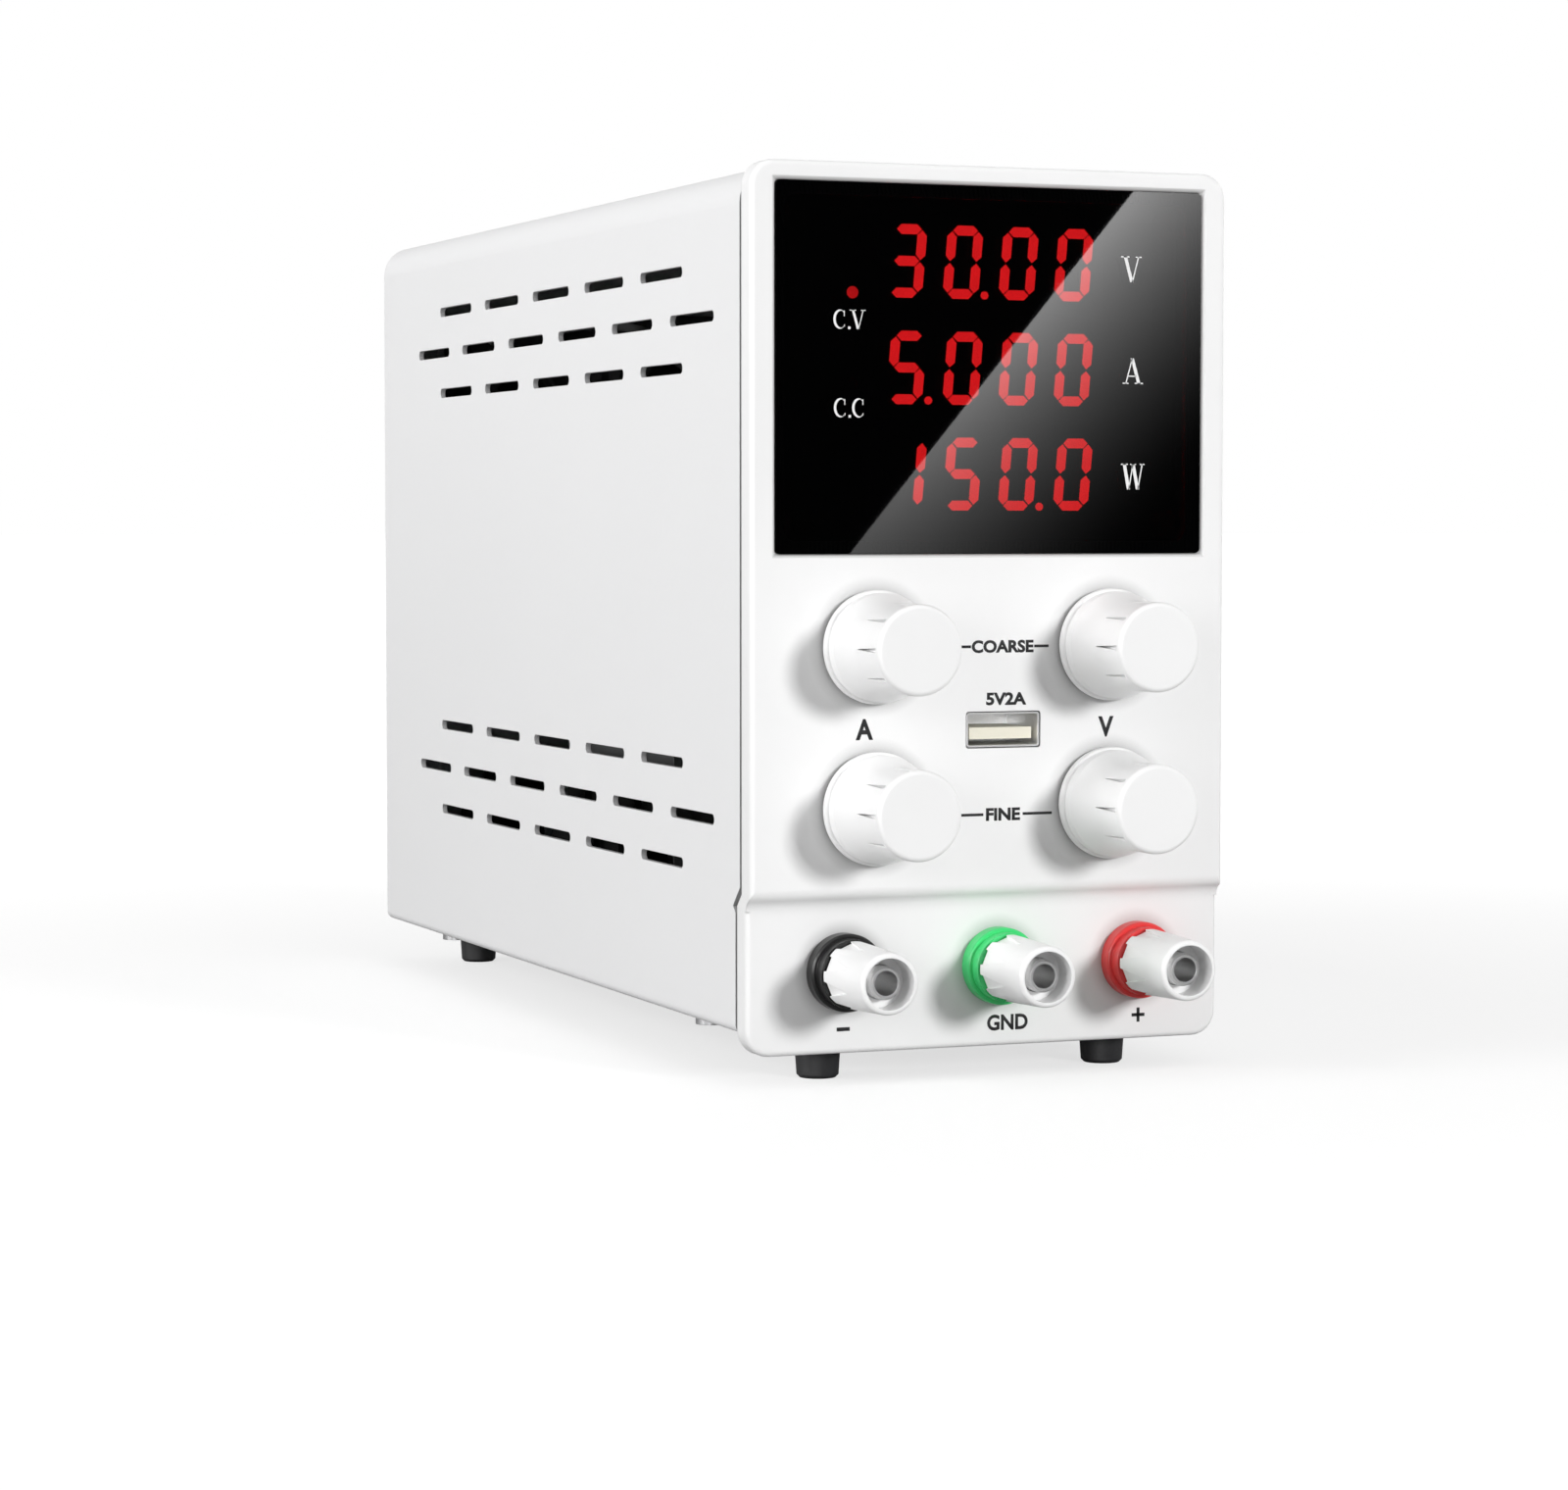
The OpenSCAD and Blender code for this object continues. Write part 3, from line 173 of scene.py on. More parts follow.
class SupplyStage(bpy.types.PropertyGroup):
    """Camera, lamps and floor."""

    camera_at: bpy.props.FloatVectorProperty(
        name="Camera", description="Place of the camera", size=3, subtype="TRANSLATION",
        unit="LENGTH", default=(-0.27213, -0.69550, 0.09107))
    heading: bpy.props.FloatProperty(
        name="Heading", description="Turn of the view from the rear towards the right",
        subtype="ANGLE", default=math.radians(21.53))
    dip: bpy.props.FloatProperty(
        name="Dip", description="How far the view looks down", subtype="ANGLE",
        default=math.radians(3.16))
    lens: bpy.props.FloatProperty(
        name="Lens", description="Focal length on a 36 mm sensor", default=91.84, min=1)
    key: bpy.props.FloatProperty(
        name="Key lamp", description="Power of the lamp at the front right", default=13.8,
        min=0, unit="POWER")
    fill: bpy.props.FloatProperty(
        name="Fill lamp", description="Power of the lamp at the left", default=17.5, min=0,
        unit="POWER")
    glint: bpy.props.FloatProperty(
        name="Glint lamp", description="Power of the lamp that only shows in gloss and metal",
        default=6.0, min=0, unit="POWER")
    ambient: bpy.props.FloatProperty(
        name="Ambient", description="Light from all round", default=0.31, min=0)
    card: bpy.props.FloatProperty(
        name="Card", description="Brightness of the card mirrored in the window", default=8.6,
        min=0)


# ---------- shader maths ----------


class Value:
    """A node's output that takes part in Python sums."""

    def __init__(self, tree, socket):
        self.tree, self.socket = tree, socket

    def math(self, operation, *others):
        node = self.tree.nodes.new("ShaderNodeMath")
        node.operation = operation
        for slot, item in zip(node.inputs, (self, *others)):
            plug(self.tree, slot, item)
        return Value(self.tree, node.outputs[0])

    def flipped(self, operation, other):
        node = self.tree.nodes.new("ShaderNodeMath")
        node.operation = operation
        node.inputs[0].default_value = other
        plug(self.tree, node.inputs[1], self)
        return Value(self.tree, node.outputs[0])

    def __add__(self, other):
        return self.math("ADD", other)

    def __sub__(self, other):
        return self.math("SUBTRACT", other)

    def __mul__(self, other):
        return self.math("MULTIPLY", other)

    def __truediv__(self, other):
        return self.math("DIVIDE", other)

    def __radd__(self, other):
        return self.flipped("ADD", other)

    def __rsub__(self, other):
        return self.flipped("SUBTRACT", other)

    def __rmul__(self, other):
        return self.flipped("MULTIPLY", other)

    def above(self, edge):
        return self.math("GREATER_THAN", edge)

    def below(self, edge):
        return self.math("LESS_THAN", edge)

    def held(self, low=0.0, high=1.0):
        return self.math("MAXIMUM", low).math("MINIMUM", high)

    def power(self, exponent):
        return self.math("POWER", exponent)

    def size(self):
        return self.math("ABSOLUTE")

    def sine(self):
        return self.math("SINE")

    def wrapped(self, period):
        return self.math("FLOORED_MODULO", period)


def plug(tree, slot, item):
    """Links a value to a node's input, or sets the input to a number or colour."""
    if isinstance(item, Value):
        tree.links.new(item.socket, slot)
    elif hasattr(item, "__len__") and slot.type == "RGBA":
        slot.default_value = (*tuple(item)[:3], 1.0)
    else:
        slot.default_value = item


class Graph:
    """A node tree, with one method that adds any node."""

    def __init__(self, tree):
        self.tree = tree

    def node(self, kind, settings=None, output=0, **inputs):
        made = self.tree.nodes.new("ShaderNode" + kind)
        for key, setting in (settings or {}).items():
            setattr(made, key, setting)
        for key, item in inputs.items():
            slot = next(s for s in made.inputs if s.identifier.replace(" ", "_") == key)
            plug(self.tree, slot, item)
        return Value(self.tree, made.outputs[output])

    def named(self, kind, name):
        """An output of an input-like node, such as Texture Coordinate, by its name."""
        made = self.tree.nodes.new("ShaderNode" + kind)
        return Value(self.tree, made.outputs[name])

    def mix(self, factor, a, b):
        made = self.tree.nodes.new("ShaderNodeMix")
        made.data_type = "RGBA"
        wanted = {"Factor_Float": factor, "A_Color": a, "B_Color": b}
        for slot in made.inputs:
            if slot.identifier in wanted:
                plug(self.tree, slot, wanted[slot.identifier])
        result = next(s for s in made.outputs if s.identifier == "Result_Color")
        return Value(self.tree, result)


class Finish(Graph):
    """A material on one Principled shader."""

    def __init__(self, name, colour, roughness, **settings):
        self.material = bpy.data.materials.new(name)
        self.material.use_nodes = True
        super().__init__(self.material.node_tree)
        self.shader = next(n for n in self.tree.nodes if n.type == "BSDF_PRINCIPLED")
        self.place = self.named("TexCoord", "Object")
        self.set(Base_Color=colour, Roughness=roughness, **settings)

    def set(self, **inputs):
        for key, item in inputs.items():
            plug(self.tree, self.shader.inputs[key.replace("_", " ")], item)
        return self

    def axis(self, name):
        """The place along x, y or z of the row frame, in metres."""
        made = self.tree.nodes.new("ShaderNodeSeparateXYZ")
        self.tree.links.new(self.place.socket, made.inputs[0])
        return Value(self.tree, made.outputs[name])

    def stretched(self, scale):
        return self.node("Mapping", Vector=self.place, Scale=scale)

    def noise(self, scale, detail=2.0, place=None):
        return self.node("TexNoise", Vector=place or self.place, Scale=scale, Detail=detail)

    def dimmed_gaps(self, kept_in_shade):
        """Paints shade into the colour: deep in gaps and corners only a share of it is left."""
        colour = Value(self.tree, self.shader.inputs["Base Color"].links[0].from_socket)
        # Painted shade: ambient occlusion darkens the colour where little light gets in.
        ao_lit_share = self.node("AmbientOcclusion", {"samples": 8}, output=1, Distance=SHADE_GAP_DEPTH)
        painted_shade_colour = self.mix(1.0 - kept_in_shade, colour, (0, 0, 0))
        return self.set(Base_Color=self.mix(ao_lit_share.held(), painted_shade_colour, colour))

    def bump(self, height, depth, edge=0.0):
        """Relief of the given depth, over edges rounded by the radius edge."""
        inputs = {"Height": height, "Distance": depth, "Strength": 1.0}
        if edge:
            inputs["Normal"] = self.node("Bevel", {"samples": 6}, Radius=edge)
        self.set(Normal=self.node("Bump", **inputs))
        return self


def shade(colour, share):
    """A colour made lighter or darker by a share."""
    return tuple(min(1.0, c * share) for c in colour[:3])


# ---------- finishes ----------


def moulded(name, colour, roughness=0.35, grain=0.012 * MM, grain_size=0.25 * MM, edge=0.0,
            coat=0.0):
    """Injection-moulded plastic: fine grain, and faint flow marks in its colour and gloss."""
    f = Finish(name, colour, roughness)
    flow = f.noise(38.0, 3.0)
    f.set(Base_Color=f.mix(flow, shade(colour, 0.975), shade(colour, 1.015)),
          Roughness=roughness - 0.05 + flow * 0.1)
    f.set(Coat_Weight=coat, Coat_Roughness=0.08)
    return f.bump(f.noise(1.0 / grain_size, 2.0), grain, edge)


def powder_coat(name, colour, roughness=0.42):
    """Powder paint on sheet: a soft orange peel with a fine dust in it."""
    f = Finish(name, colour, roughness)
    peel = f.noise(900.0, 1.0)
    dust = f.noise(5200.0, 0.0)
    cloud = f.noise(14.0, 2.0)
    f.set(Base_Color=f.mix(cloud * 0.7 + dust * 0.3, shade(colour, 0.972), shade(colour, 1.02)),
          Roughness=roughness - 0.06 + peel * 0.12)
    return f.bump(peel * 0.8 + dust * 0.2, 0.02 * MM, 0.25 * MM)


def zinc_sheet(name, colour):
    """Galvanised sheet with its spangle."""
    f = Finish(name, colour, 0.4, Metallic=1.0)
    spangle = f.node("TexVoronoi", {"feature": "F1"}, output=1, Vector=f.place, Scale=260.0)
    grey = f.node("RGBToBW", Color=spangle)
    f.set(Base_Color=f.mix(grey, shade(colour, 0.78), shade(colour, 1.12)),
          Roughness=0.3 + grey * 0.25)
    return f.bump(grey, 0.004 * MM, 0.15 * MM)


def drawn_metal(name, colour, roughness=0.25, along=(1, 14, 1), edge=0.12 * MM):
    """Plated or drawn metal: fine lines across one direction, and a few dull patches."""
    f = Finish(name, colour, roughness, Metallic=1.0)
    lines = f.noise(420.0, 2.0, f.stretched(along))
    dull = f.noise(90.0, 2.0)
    f.set(Base_Color=f.mix(dull, shade(colour, 0.9), shade(colour, 1.06)),
          Roughness=roughness - 0.08 + lines * 0.1 + dull * 0.08)
    return f.bump(lines, 0.003 * MM, edge)


def plated_socket(name, colour, top_z):
    """Nickel plate: a darker tone on the sockets up to a height, painted shade for their bores, and
    a lighter one above it, painted light for the port's deep shell.
    """
    f = drawn_metal(name, colour)
    socket = f.axis("Z").below(top_z)
    patches = f.noise(90.0, 2.0)
    # Painted shade on the sockets and painted light above them: one plate in two tones.
    socket_shade_tone = f.mix(patches, shade(colour, 0.9), shade(colour, 1.1))
    bright = f.mix(patches, shade(colour, 1.15), shade(colour, 1.3))
    return f.set(Base_Color=f.mix(socket, bright, socket_shade_tone), Roughness=0.42 - socket * 0.06)


def turned_brass(name, colour):
    """Machined brass with tool rings along the part's length."""
    f = drawn_metal(name, colour, 0.28, (1, 9, 1))
    feed = 0.35 * MM
    rings = (f.axis("Y") * (2 * math.pi / feed)).sine()
    return f.bump(rings, 0.004 * MM, 0.1 * MM)


def soft_rubber(name, colour):
    """Matt rubber with a fine grain and dusty patches."""
    f = Finish(name, colour, 0.5)
    dust = f.noise(150.0, 4.0)
    f.set(Base_Color=f.mix((dust * 1.6 - 0.4).held(), shade(colour, 0.6), shade(colour, 1.2)),
          Roughness=0.42 + dust * 0.16)
    return f.bump(f.noise(2600.0, 2.0), 0.02 * MM, 0.3 * MM)


def tinted_window(name, colour, alpha):
    """Smoked acrylic, mirror-smooth, so dark that only what is lit behind it shows."""
    f = Finish(name, colour, 0.01, IOR=1.49, Alpha=alpha)
    wiped = f.noise(30.0, 3.0, f.stretched((1, 1, 4)))
    return f.set(Roughness=0.005 + wiped * 0.012)


def lit_segments(name, colour, strength):
    """Diffusing resin lit from behind, a little brighter in patches."""
    f = Finish(name, shade(colour, 0.5), 0.4, Emission_Strength=strength)
    patch = f.noise(420.0, 1.0)
    f.set(Emission_Color=f.mix(patch, shade(colour, 0.82), shade(colour, 1.0)))
    return f.bump(f.noise(1800.0, 1.0), 0.01 * MM)


def mode_lamp(name, colour, light, strength, split_z, tip_y):
    """Two lamp domes, of which the upper one is lit."""
    f = Finish(name, colour, 0.25, Emission_Strength=strength)
    dome = 0.9 * MM
    lit = f.axis("Z").above(split_z) * f.axis("Y").below(tip_y + dome)
    glow = f.noise(500.0, 0.0) * 0.3 + 0.7
    f.set(Base_Color=f.mix(lit, shade(colour, 0.12), shade(colour, 0.6)),
          Emission_Color=f.mix(lit * glow, (0.0, 0.0, 0.0), light))
    return f.bump(f.noise(900.0, 0.0), 0.004 * MM)


def circuit_board(name, colour):
    """Solder mask over copper runs, with bare pads."""
    f = Finish(name, colour, 0.35)
    cells = f.node("TexVoronoi", {"feature": "F1", "distance": "CHEBYCHEV"}, Vector=f.place,
                   Scale=210.0)
    runs = (cells.wrapped(0.22) - 0.11).size().below(0.035)
    pads = f.node("TexVoronoi", {"feature": "F1"}, Vector=f.place, Scale=330.0,
                  Randomness=0.5).below(0.16)
    mask = f.mix(runs, colour, shade(colour, 1.7))
    f.set(Base_Color=f.mix(pads, mask, (0.62, 0.60, 0.52)), Metallic=pads * 0.9,
          Roughness=0.38 - pads * 0.1)
    return f.bump(runs * 0.5 + pads, 0.03 * MM, 0.1 * MM)


def pressed_ferrite(name, colour):
    """Sintered core: matt and dark with fine pits."""
    f = Finish(name, colour, 0.62)
    pits = f.noise(1300.0, 3.0)
    f.set(Base_Color=f.mix(pits, shade(colour, 0.7), shade(colour, 1.5)),
          Roughness=0.5 + pits * 0.25)
    return f.bump(pits, 0.03 * MM, 0.3 * MM)


def wound_tape(name, colour):
    """Layers of tape round a winding, each edge a little proud."""
    f = Finish(name, colour, 0.3)
    width = 4.5 * MM
    layer = f.axis("Z").wrapped(width) / width
    lap = (layer - 0.5).size() * 2.0
    wrinkle = f.noise(240.0, 3.0, f.stretched((1, 1, 5)))
    f.set(Base_Color=f.mix(lap.power(6.0), colour, shade(colour, 0.6)),
          Roughness=0.22 + wrinkle * 0.2)
    return f.bump(lap.power(4.0) + wrinkle * 0.4, 0.15 * MM)


def capacitor_sleeve(name, colour, top_z):
    """Shrunk sleeve with a pale side stripe, and the bare can showing on top."""
    f = Finish(name, colour, 0.25)
    rim, spacing, half_stripe = 0.6 * MM, 26 * MM, 1.6 * MM
    bare = f.axis("Z").above(top_z - rim)
    stripe = (f.axis("X").wrapped(spacing) - spacing / 2).size().below(half_stripe)
    body = f.mix(stripe, colour, (0.55, 0.56, 0.60))
    crimp = f.noise(300.0, 2.0)
    f.set(Base_Color=f.mix(bare, body, (0.7, 0.7, 0.71)), Metallic=bare,
          Roughness=0.2 + crimp * 0.15)
    return f.bump(crimp, 0.02 * MM, 0.3 * MM)


def extruded_aluminium(name, colour):
    """Extruded heatsink with die lines along its length."""
    f = Finish(name, colour, 0.38, Metallic=1.0)
    lines = f.noise(700.0, 2.0, f.stretched((1, 1, 0.04)))
    f.set(Base_Color=f.mix(lines, shade(colour, 0.86), shade(colour, 1.1)),
          Roughness=0.3 + lines * 0.18)
    return f.bump(lines, 0.01 * MM, 0.15 * MM)


def enamelled_wire(name, colour):
    """Close turns of enamelled wire."""
    f = Finish(name, colour, 0.28, Metallic=0.85)
    turn = f.noise(520.0, 1.0)
    f.set(Base_Color=f.mix(turn, shade(colour, 0.65), shade(colour, 1.35)),
          Roughness=0.22 + turn * 0.16)
    return f.bump(turn, 0.08 * MM, 0.25 * MM)


def printed_ink(name, colour, roughness=0.4):
    """Screen-printed ink, a little uneven."""
    f = Finish(name, colour, roughness)
    mottle = f.noise(2400.0, 2.0)
    f.set(Base_Color=f.mix(mottle, shade(colour, 0.93), shade(colour, 1.05)),
          Roughness=roughness - 0.05 + mottle * 0.1)
    return f.bump(mottle, 0.004 * MM)


# ---------- modelling helpers ----------


def only(piece):
    """Deselects all, and makes the piece the one that operators act on."""
    bpy.ops.object.select_all(action="DESELECT")
    piece.select_set(True)
    bpy.context.view_layer.objects.active = piece
    return piece


def settle(piece, name, where, body, material):
    """Moves a finished flat shape to its place and applies it, names it and lets it ride."""
    only(piece)
    piece.matrix_world = where
    bpy.ops.object.transform_apply(location=True, rotation=True, scale=True)
    bpy.ops.object.mode_set(mode="EDIT")
    bpy.ops.mesh.select_all(action="SELECT")
    bpy.ops.mesh.remove_doubles(threshold=1e-7)
    bpy.ops.mesh.normals_make_consistent(inside=False)
    bpy.ops.object.mode_set(mode="OBJECT")
    piece.name = piece.data.name = name
    piece.data.materials.clear()
    piece.data.materials.append(material)
    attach(piece, body)


def joined(parts):
    """Joins flat parts into the first one."""
    bpy.ops.object.select_all(action="DESELECT")
    for part in parts:
        part.select_set(True)
    bpy.context.view_layer.objects.active = parts[0]
    if len(parts) > 1:
        bpy.ops.object.join()
    return parts[0]


def thickened(piece, height):
    """Gives a flat shape its thickness, half of it below the surface that carries it."""
    only(piece)
    bpy.ops.object.mode_set(mode="EDIT")
    bpy.ops.mesh.select_all(action="SELECT")
    bpy.ops.mesh.extrude_region_move(TRANSFORM_OT_translate={"value": (0, 0, height)})
    bpy.ops.mesh.select_all(action="SELECT")
    bpy.ops.transform.translate(value=(0, 0, -height / 2))
    bpy.ops.object.mode_set(mode="OBJECT")
    return piece


def bar(x, y, w, h):
    """A flat bar with its middle at x, y."""
    bpy.ops.mesh.primitive_plane_add(size=1, location=(x, y, 0))
    made = bpy.context.object
    bpy.ops.object.mode_set(mode="EDIT")
    bpy.ops.mesh.select_all(action="SELECT")
    bpy.ops.transform.resize(value=(w, h, 1), center_override=(x, y, 0))
    bpy.ops.object.mode_set(mode="OBJECT")
    only(made)
    bpy.ops.object.transform_apply(location=True, rotation=True, scale=True)
    return made


def slanted(x0, x1, height, width):
    """A letter's stroke from (x0, 0) to (x1, height), cut level at both ends."""
    lean = math.atan2(x0 - x1, height)
    made = bar((x0 + x1) / 2, height / 2, width * math.cos(lean), 2 * height)
    bpy.ops.object.mode_set(mode="EDIT")
    bpy.ops.mesh.select_all(action="SELECT")
    bpy.ops.transform.rotate(value=-lean, orient_axis="Z",
                             center_override=((x0 + x1) / 2, height / 2, 0))
    bpy.ops.mesh.select_all(action="SELECT")
    bpy.ops.mesh.bisect(plane_co=(0, 0, 0), plane_no=(0, 1, 0), clear_inner=True)
    bpy.ops.mesh.select_all(action="SELECT")
    bpy.ops.mesh.bisect(plane_co=(0, height, 0), plane_no=(0, 1, 0), clear_outer=True)
    bpy.ops.object.mode_set(mode="OBJECT")
    return made


def ring(x, y, radius, thickness, squeeze=1.0):
    """A flat ring with its middle at x, y; a round letter is squeezed in width."""
    bpy.ops.mesh.primitive_circle_add(vertices=40, radius=radius, fill_type="NGON",
                                      location=(0, 0, 0))
    made = bpy.context.object
    bpy.ops.object.mode_set(mode="EDIT")
    bpy.ops.mesh.select_mode(type="FACE")
    bpy.ops.mesh.select_all(action="SELECT")
    bpy.ops.mesh.inset(thickness=thickness)
    bpy.ops.mesh.delete(type="FACE")
    bpy.ops.mesh.select_all(action="SELECT")
    bpy.ops.transform.resize(value=(squeeze, 1, 1), center_override=(0, 0, 0))
    bpy.ops.transform.translate(value=(x, y, 0))
    bpy.ops.object.mode_set(mode="OBJECT")
    return made


def words(text, height, weight, stretch):
    """Words in plain sans letters, centred, with the given height, extra weight and width."""
    bpy.ops.object.select_all(action="DESELECT")
    bpy.ops.object.text_add(location=(0, 0, 0))
    made = bpy.context.object
    made.data.body = text
    made.data.offset = weight
    made.data.resolution_u = 4
    bpy.ops.object.convert(target="MESH")
    made = bpy.context.object
    size = made.dimensions.copy()
    centre = sum((Vector(c) for c in made.bound_box), Vector()) / 8
    scale = height / size.y
    made.data.transform(Matrix.Diagonal((scale * stretch, scale, scale, 1))
                        @ Matrix.Translation(-centre))
    return made


# ---------- placing ----------

# Where along a ray that misses its carrier the nearest place is looked for, in metres.
NEAREST, STEP, STEPS_ALONG = 0.3, 0.002, 400


def sight(point):
    """Start and direction of the camera's ray through an image point."""
    camera = bpy.context.scene.camera
    data = camera.data
    x, y = point
    ray = Vector((x - IMAGE_W / 2 + data.shift_x * IMAGE_LONG,
                  IMAGE_H / 2 - y + data.shift_y * IMAGE_LONG,
                  -IMAGE_LONG * data.lens / data.sensor_width))
    return camera.matrix_world.translation, (camera.matrix_world.to_3x3() @ ray).normalized()


def surface(carrier):
    return BVHTree.FromObject(carrier, bpy.context.evaluated_depsgraph_get())


def spot(point, carrier):
    """Where the camera's ray through an image point meets the carrier, and the normal there."""
    start, ray = sight(point)
    tree = surface(carrier)
    hit = tree.ray_cast(start, ray)
    if hit[0] is None:
        along = [start + ray * (NEAREST + STEP * i) for i in range(STEPS_ALONG)]
        hit = min((tree.find_nearest(place) for place in along), key=lambda h: h[3])
    return hit[0], hit[1]


def on_face(at, normal):
    """Matrix that lays a flat shape on a face: its z along the normal, its y up."""
    z = normal.normalized()
    x = Vector((0, 0, 1)).cross(z).normalized()
    y = z.cross(x)
    return Matrix.Translation(at) @ Matrix((x, y, z)).transposed().to_4x4()


def image_of(place):
    """The image point of a place in the row frame."""
    camera = bpy.context.scene.camera
    data = camera.data
    local = camera.matrix_world.inverted() @ place
    focal = IMAGE_LONG * data.lens / data.sensor_width
    return (IMAGE_W / 2 - data.shift_x * IMAGE_LONG - focal * local.x / local.z,
            IMAGE_H / 2 + data.shift_y * IMAGE_LONG + focal * local.y / local.z)


# ---------- operators ----------


def finishes(look):
    """The finish of every material slot."""
    colour = {slot: shade(c, TONES_AND_PAINTED_SHADE.get(slot, 1.0)) for slot, c in base_colours.items()}
    led_low, led_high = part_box("mode_leds")
    can_tops = {n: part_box(n)[1].z for n in ("bulk_capacitors", "output_capacitors")}
    dark = dict(roughness=0.42, grain=0.015 * MM, edge=0.2 * MM)
    collar = dict(roughness=0.3, edge=0.15 * MM)
    return {
        # Painted shade darkens the bezel's and the cover's gaps and corners.
        "bezel_white": moulded("bezel_abs", look.bezel, 0.32, 0.006 * MM, 0.3 * MM,
                               0.35 * MM).dimmed_gaps(0.25),
        "knob_white": moulded("knob_abs", look.knob, 0.34, 0.003 * MM, 0.3 * MM, 0.15 * MM),
        "cover_paint": powder_coat("cover_powder_coat", look.cover).dimmed_gaps(0.25),
        "rear_paint": powder_coat("rear_powder_coat", colour["rear_paint"]),
        "window_black": tinted_window("window_acrylic", look.window, look.window_alpha),
        "zinc_sheet": zinc_sheet("galvanised_sheet", colour["zinc_sheet"]),
        "nickel": plated_socket("nickel_plate", colour["nickel"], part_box("post_cap_ground")[1].z),
        "brass": turned_brass("machined_brass", colour["brass"]),
        "screw_steel": drawn_metal("zinc_screw", colour["screw_steel"], 0.34, (1, 1, 1)),
        "foot_rubber": soft_rubber("foot_rubber", colour["foot_rubber"]),
        "digit_red": lit_segments("lit_segments", look.digit, look.digit_strength),
        "digit_dark": moulded("unlit_segments", colour["digit_dark"], 0.4),
        "led_red": mode_lamp("mode_lamps", colour["led_red"], look.digit, look.mode_strength,
                             (led_low.z + led_high.z) / 2, led_low.y),
        "module_black": moulded("module_resin", colour["module_black"], 0.7, 0.002 * MM,
                                edge=0.2 * MM).set(Specular_IOR_Level=0.1),
        "board_green": circuit_board("circuit_board", colour["board_green"]),
        "ferrite": pressed_ferrite("ferrite_core", colour["ferrite"]),
        "tape_yellow": wound_tape("winding_tape", colour["tape_yellow"]),
        "sleeve_blue": capacitor_sleeve("capacitor_sleeve_blue", colour["sleeve_blue"],
                                        can_tops["bulk_capacitors"]),
        "sleeve_black": capacitor_sleeve("capacitor_sleeve_black", colour["sleeve_black"],
                                         can_tops["output_capacitors"]),
        "aluminium": extruded_aluminium("heatsink_aluminium", colour["aluminium"]),
        "choke_green": enamelled_wire("choke_wire", colour["choke_green"]),
        "dark_plastic": moulded("black_nylon", colour["dark_plastic"], **dark),
        "gloss_black": moulded("black_gloss", colour["gloss_black"], 0.18, edge=0.25 * MM,
                               coat=0.3),
        "pot_dark": moulded("potentiometer_case", colour["pot_dark"], **dark),
        "ivory_plastic": moulded("port_tongue", colour["ivory_plastic"], 0.38),
        "slider_red": moulded("selector_red", colour["slider_red"], 0.36, edge=0.15 * MM),
        "collar_black": moulded("collar_black", colour["collar_black"], **collar),
        "collar_green": moulded("collar_green", colour["collar_green"], **collar),
        "collar_red": moulded("collar_red", colour["collar_red"], **collar),
    }


class SUPPLY_OT_finish_nodes(bpy.types.Operator):
    """Give every part of the frame its finish"""

    bl_idname = "supply.finish_nodes"
    bl_label = "Finish the parts"

    def execute(self, context):
        made = finishes(context.scene.supply_look)
        for name, part in nodes.items():
            part.data.materials.clear()
            part.data.materials.append(made[node_slots[name]].material)
        return {"FINISHED"}


class SUPPLY_OT_print_bezel(bpy.types.Operator):
    """Print the words and signs on the bezel"""

    bl_idname = "supply.print_bezel"
    bl_label = "Print the bezel"

    def execute(self, context):
        marks = context.scene.supply_marks
        ink = printed_ink("black_ink", (0.012, 0.012, 0.013)).material

        def lay(name, parts):
            at, normal = spot(POINTS[name], nodes["front_bezel"])
            piece = thickened(joined(parts), marks.ink_height)
            settle(piece, name, on_face(at, normal), ROOT, ink)

        def rule(middle, length):
            """A line beside a word, towards the knob there."""
            return bar(middle * MM, 0, length * MM, 0.44 * MM)

        h = marks.word_height
        lay("word_coarse", [words("COARSE", h, 0.04, 1.1), rule(-7.4, 3.4), rule(7.0, 2.6)])
        lay("word_fine", [words("FINE", h, 0.04, 1.13), rule(-6.2, 5.3), rule(6.2, 5.3)])
        lay("port_rating", [words("5V2A", h, 0.04, 1.16)])
        for letter, name in (("A", "mark_current"), ("V", "mark_voltage")):
            lay(name, [words(letter, marks.mark_height, 0.034, 0.88)])
        lay("mark_ground", [words("GND", marks.ground_height, 0.032, 0.95)])
        lay("mark_minus", [bar(0, 0, 2.3 * MM, 0.62 * MM)])
        arm, width = 2.4 * MM, 0.55 * MM
        lay("mark_plus", [bar(0, 0, arm, width), bar(0, 0, width, arm)])
        return {"FINISHED"}


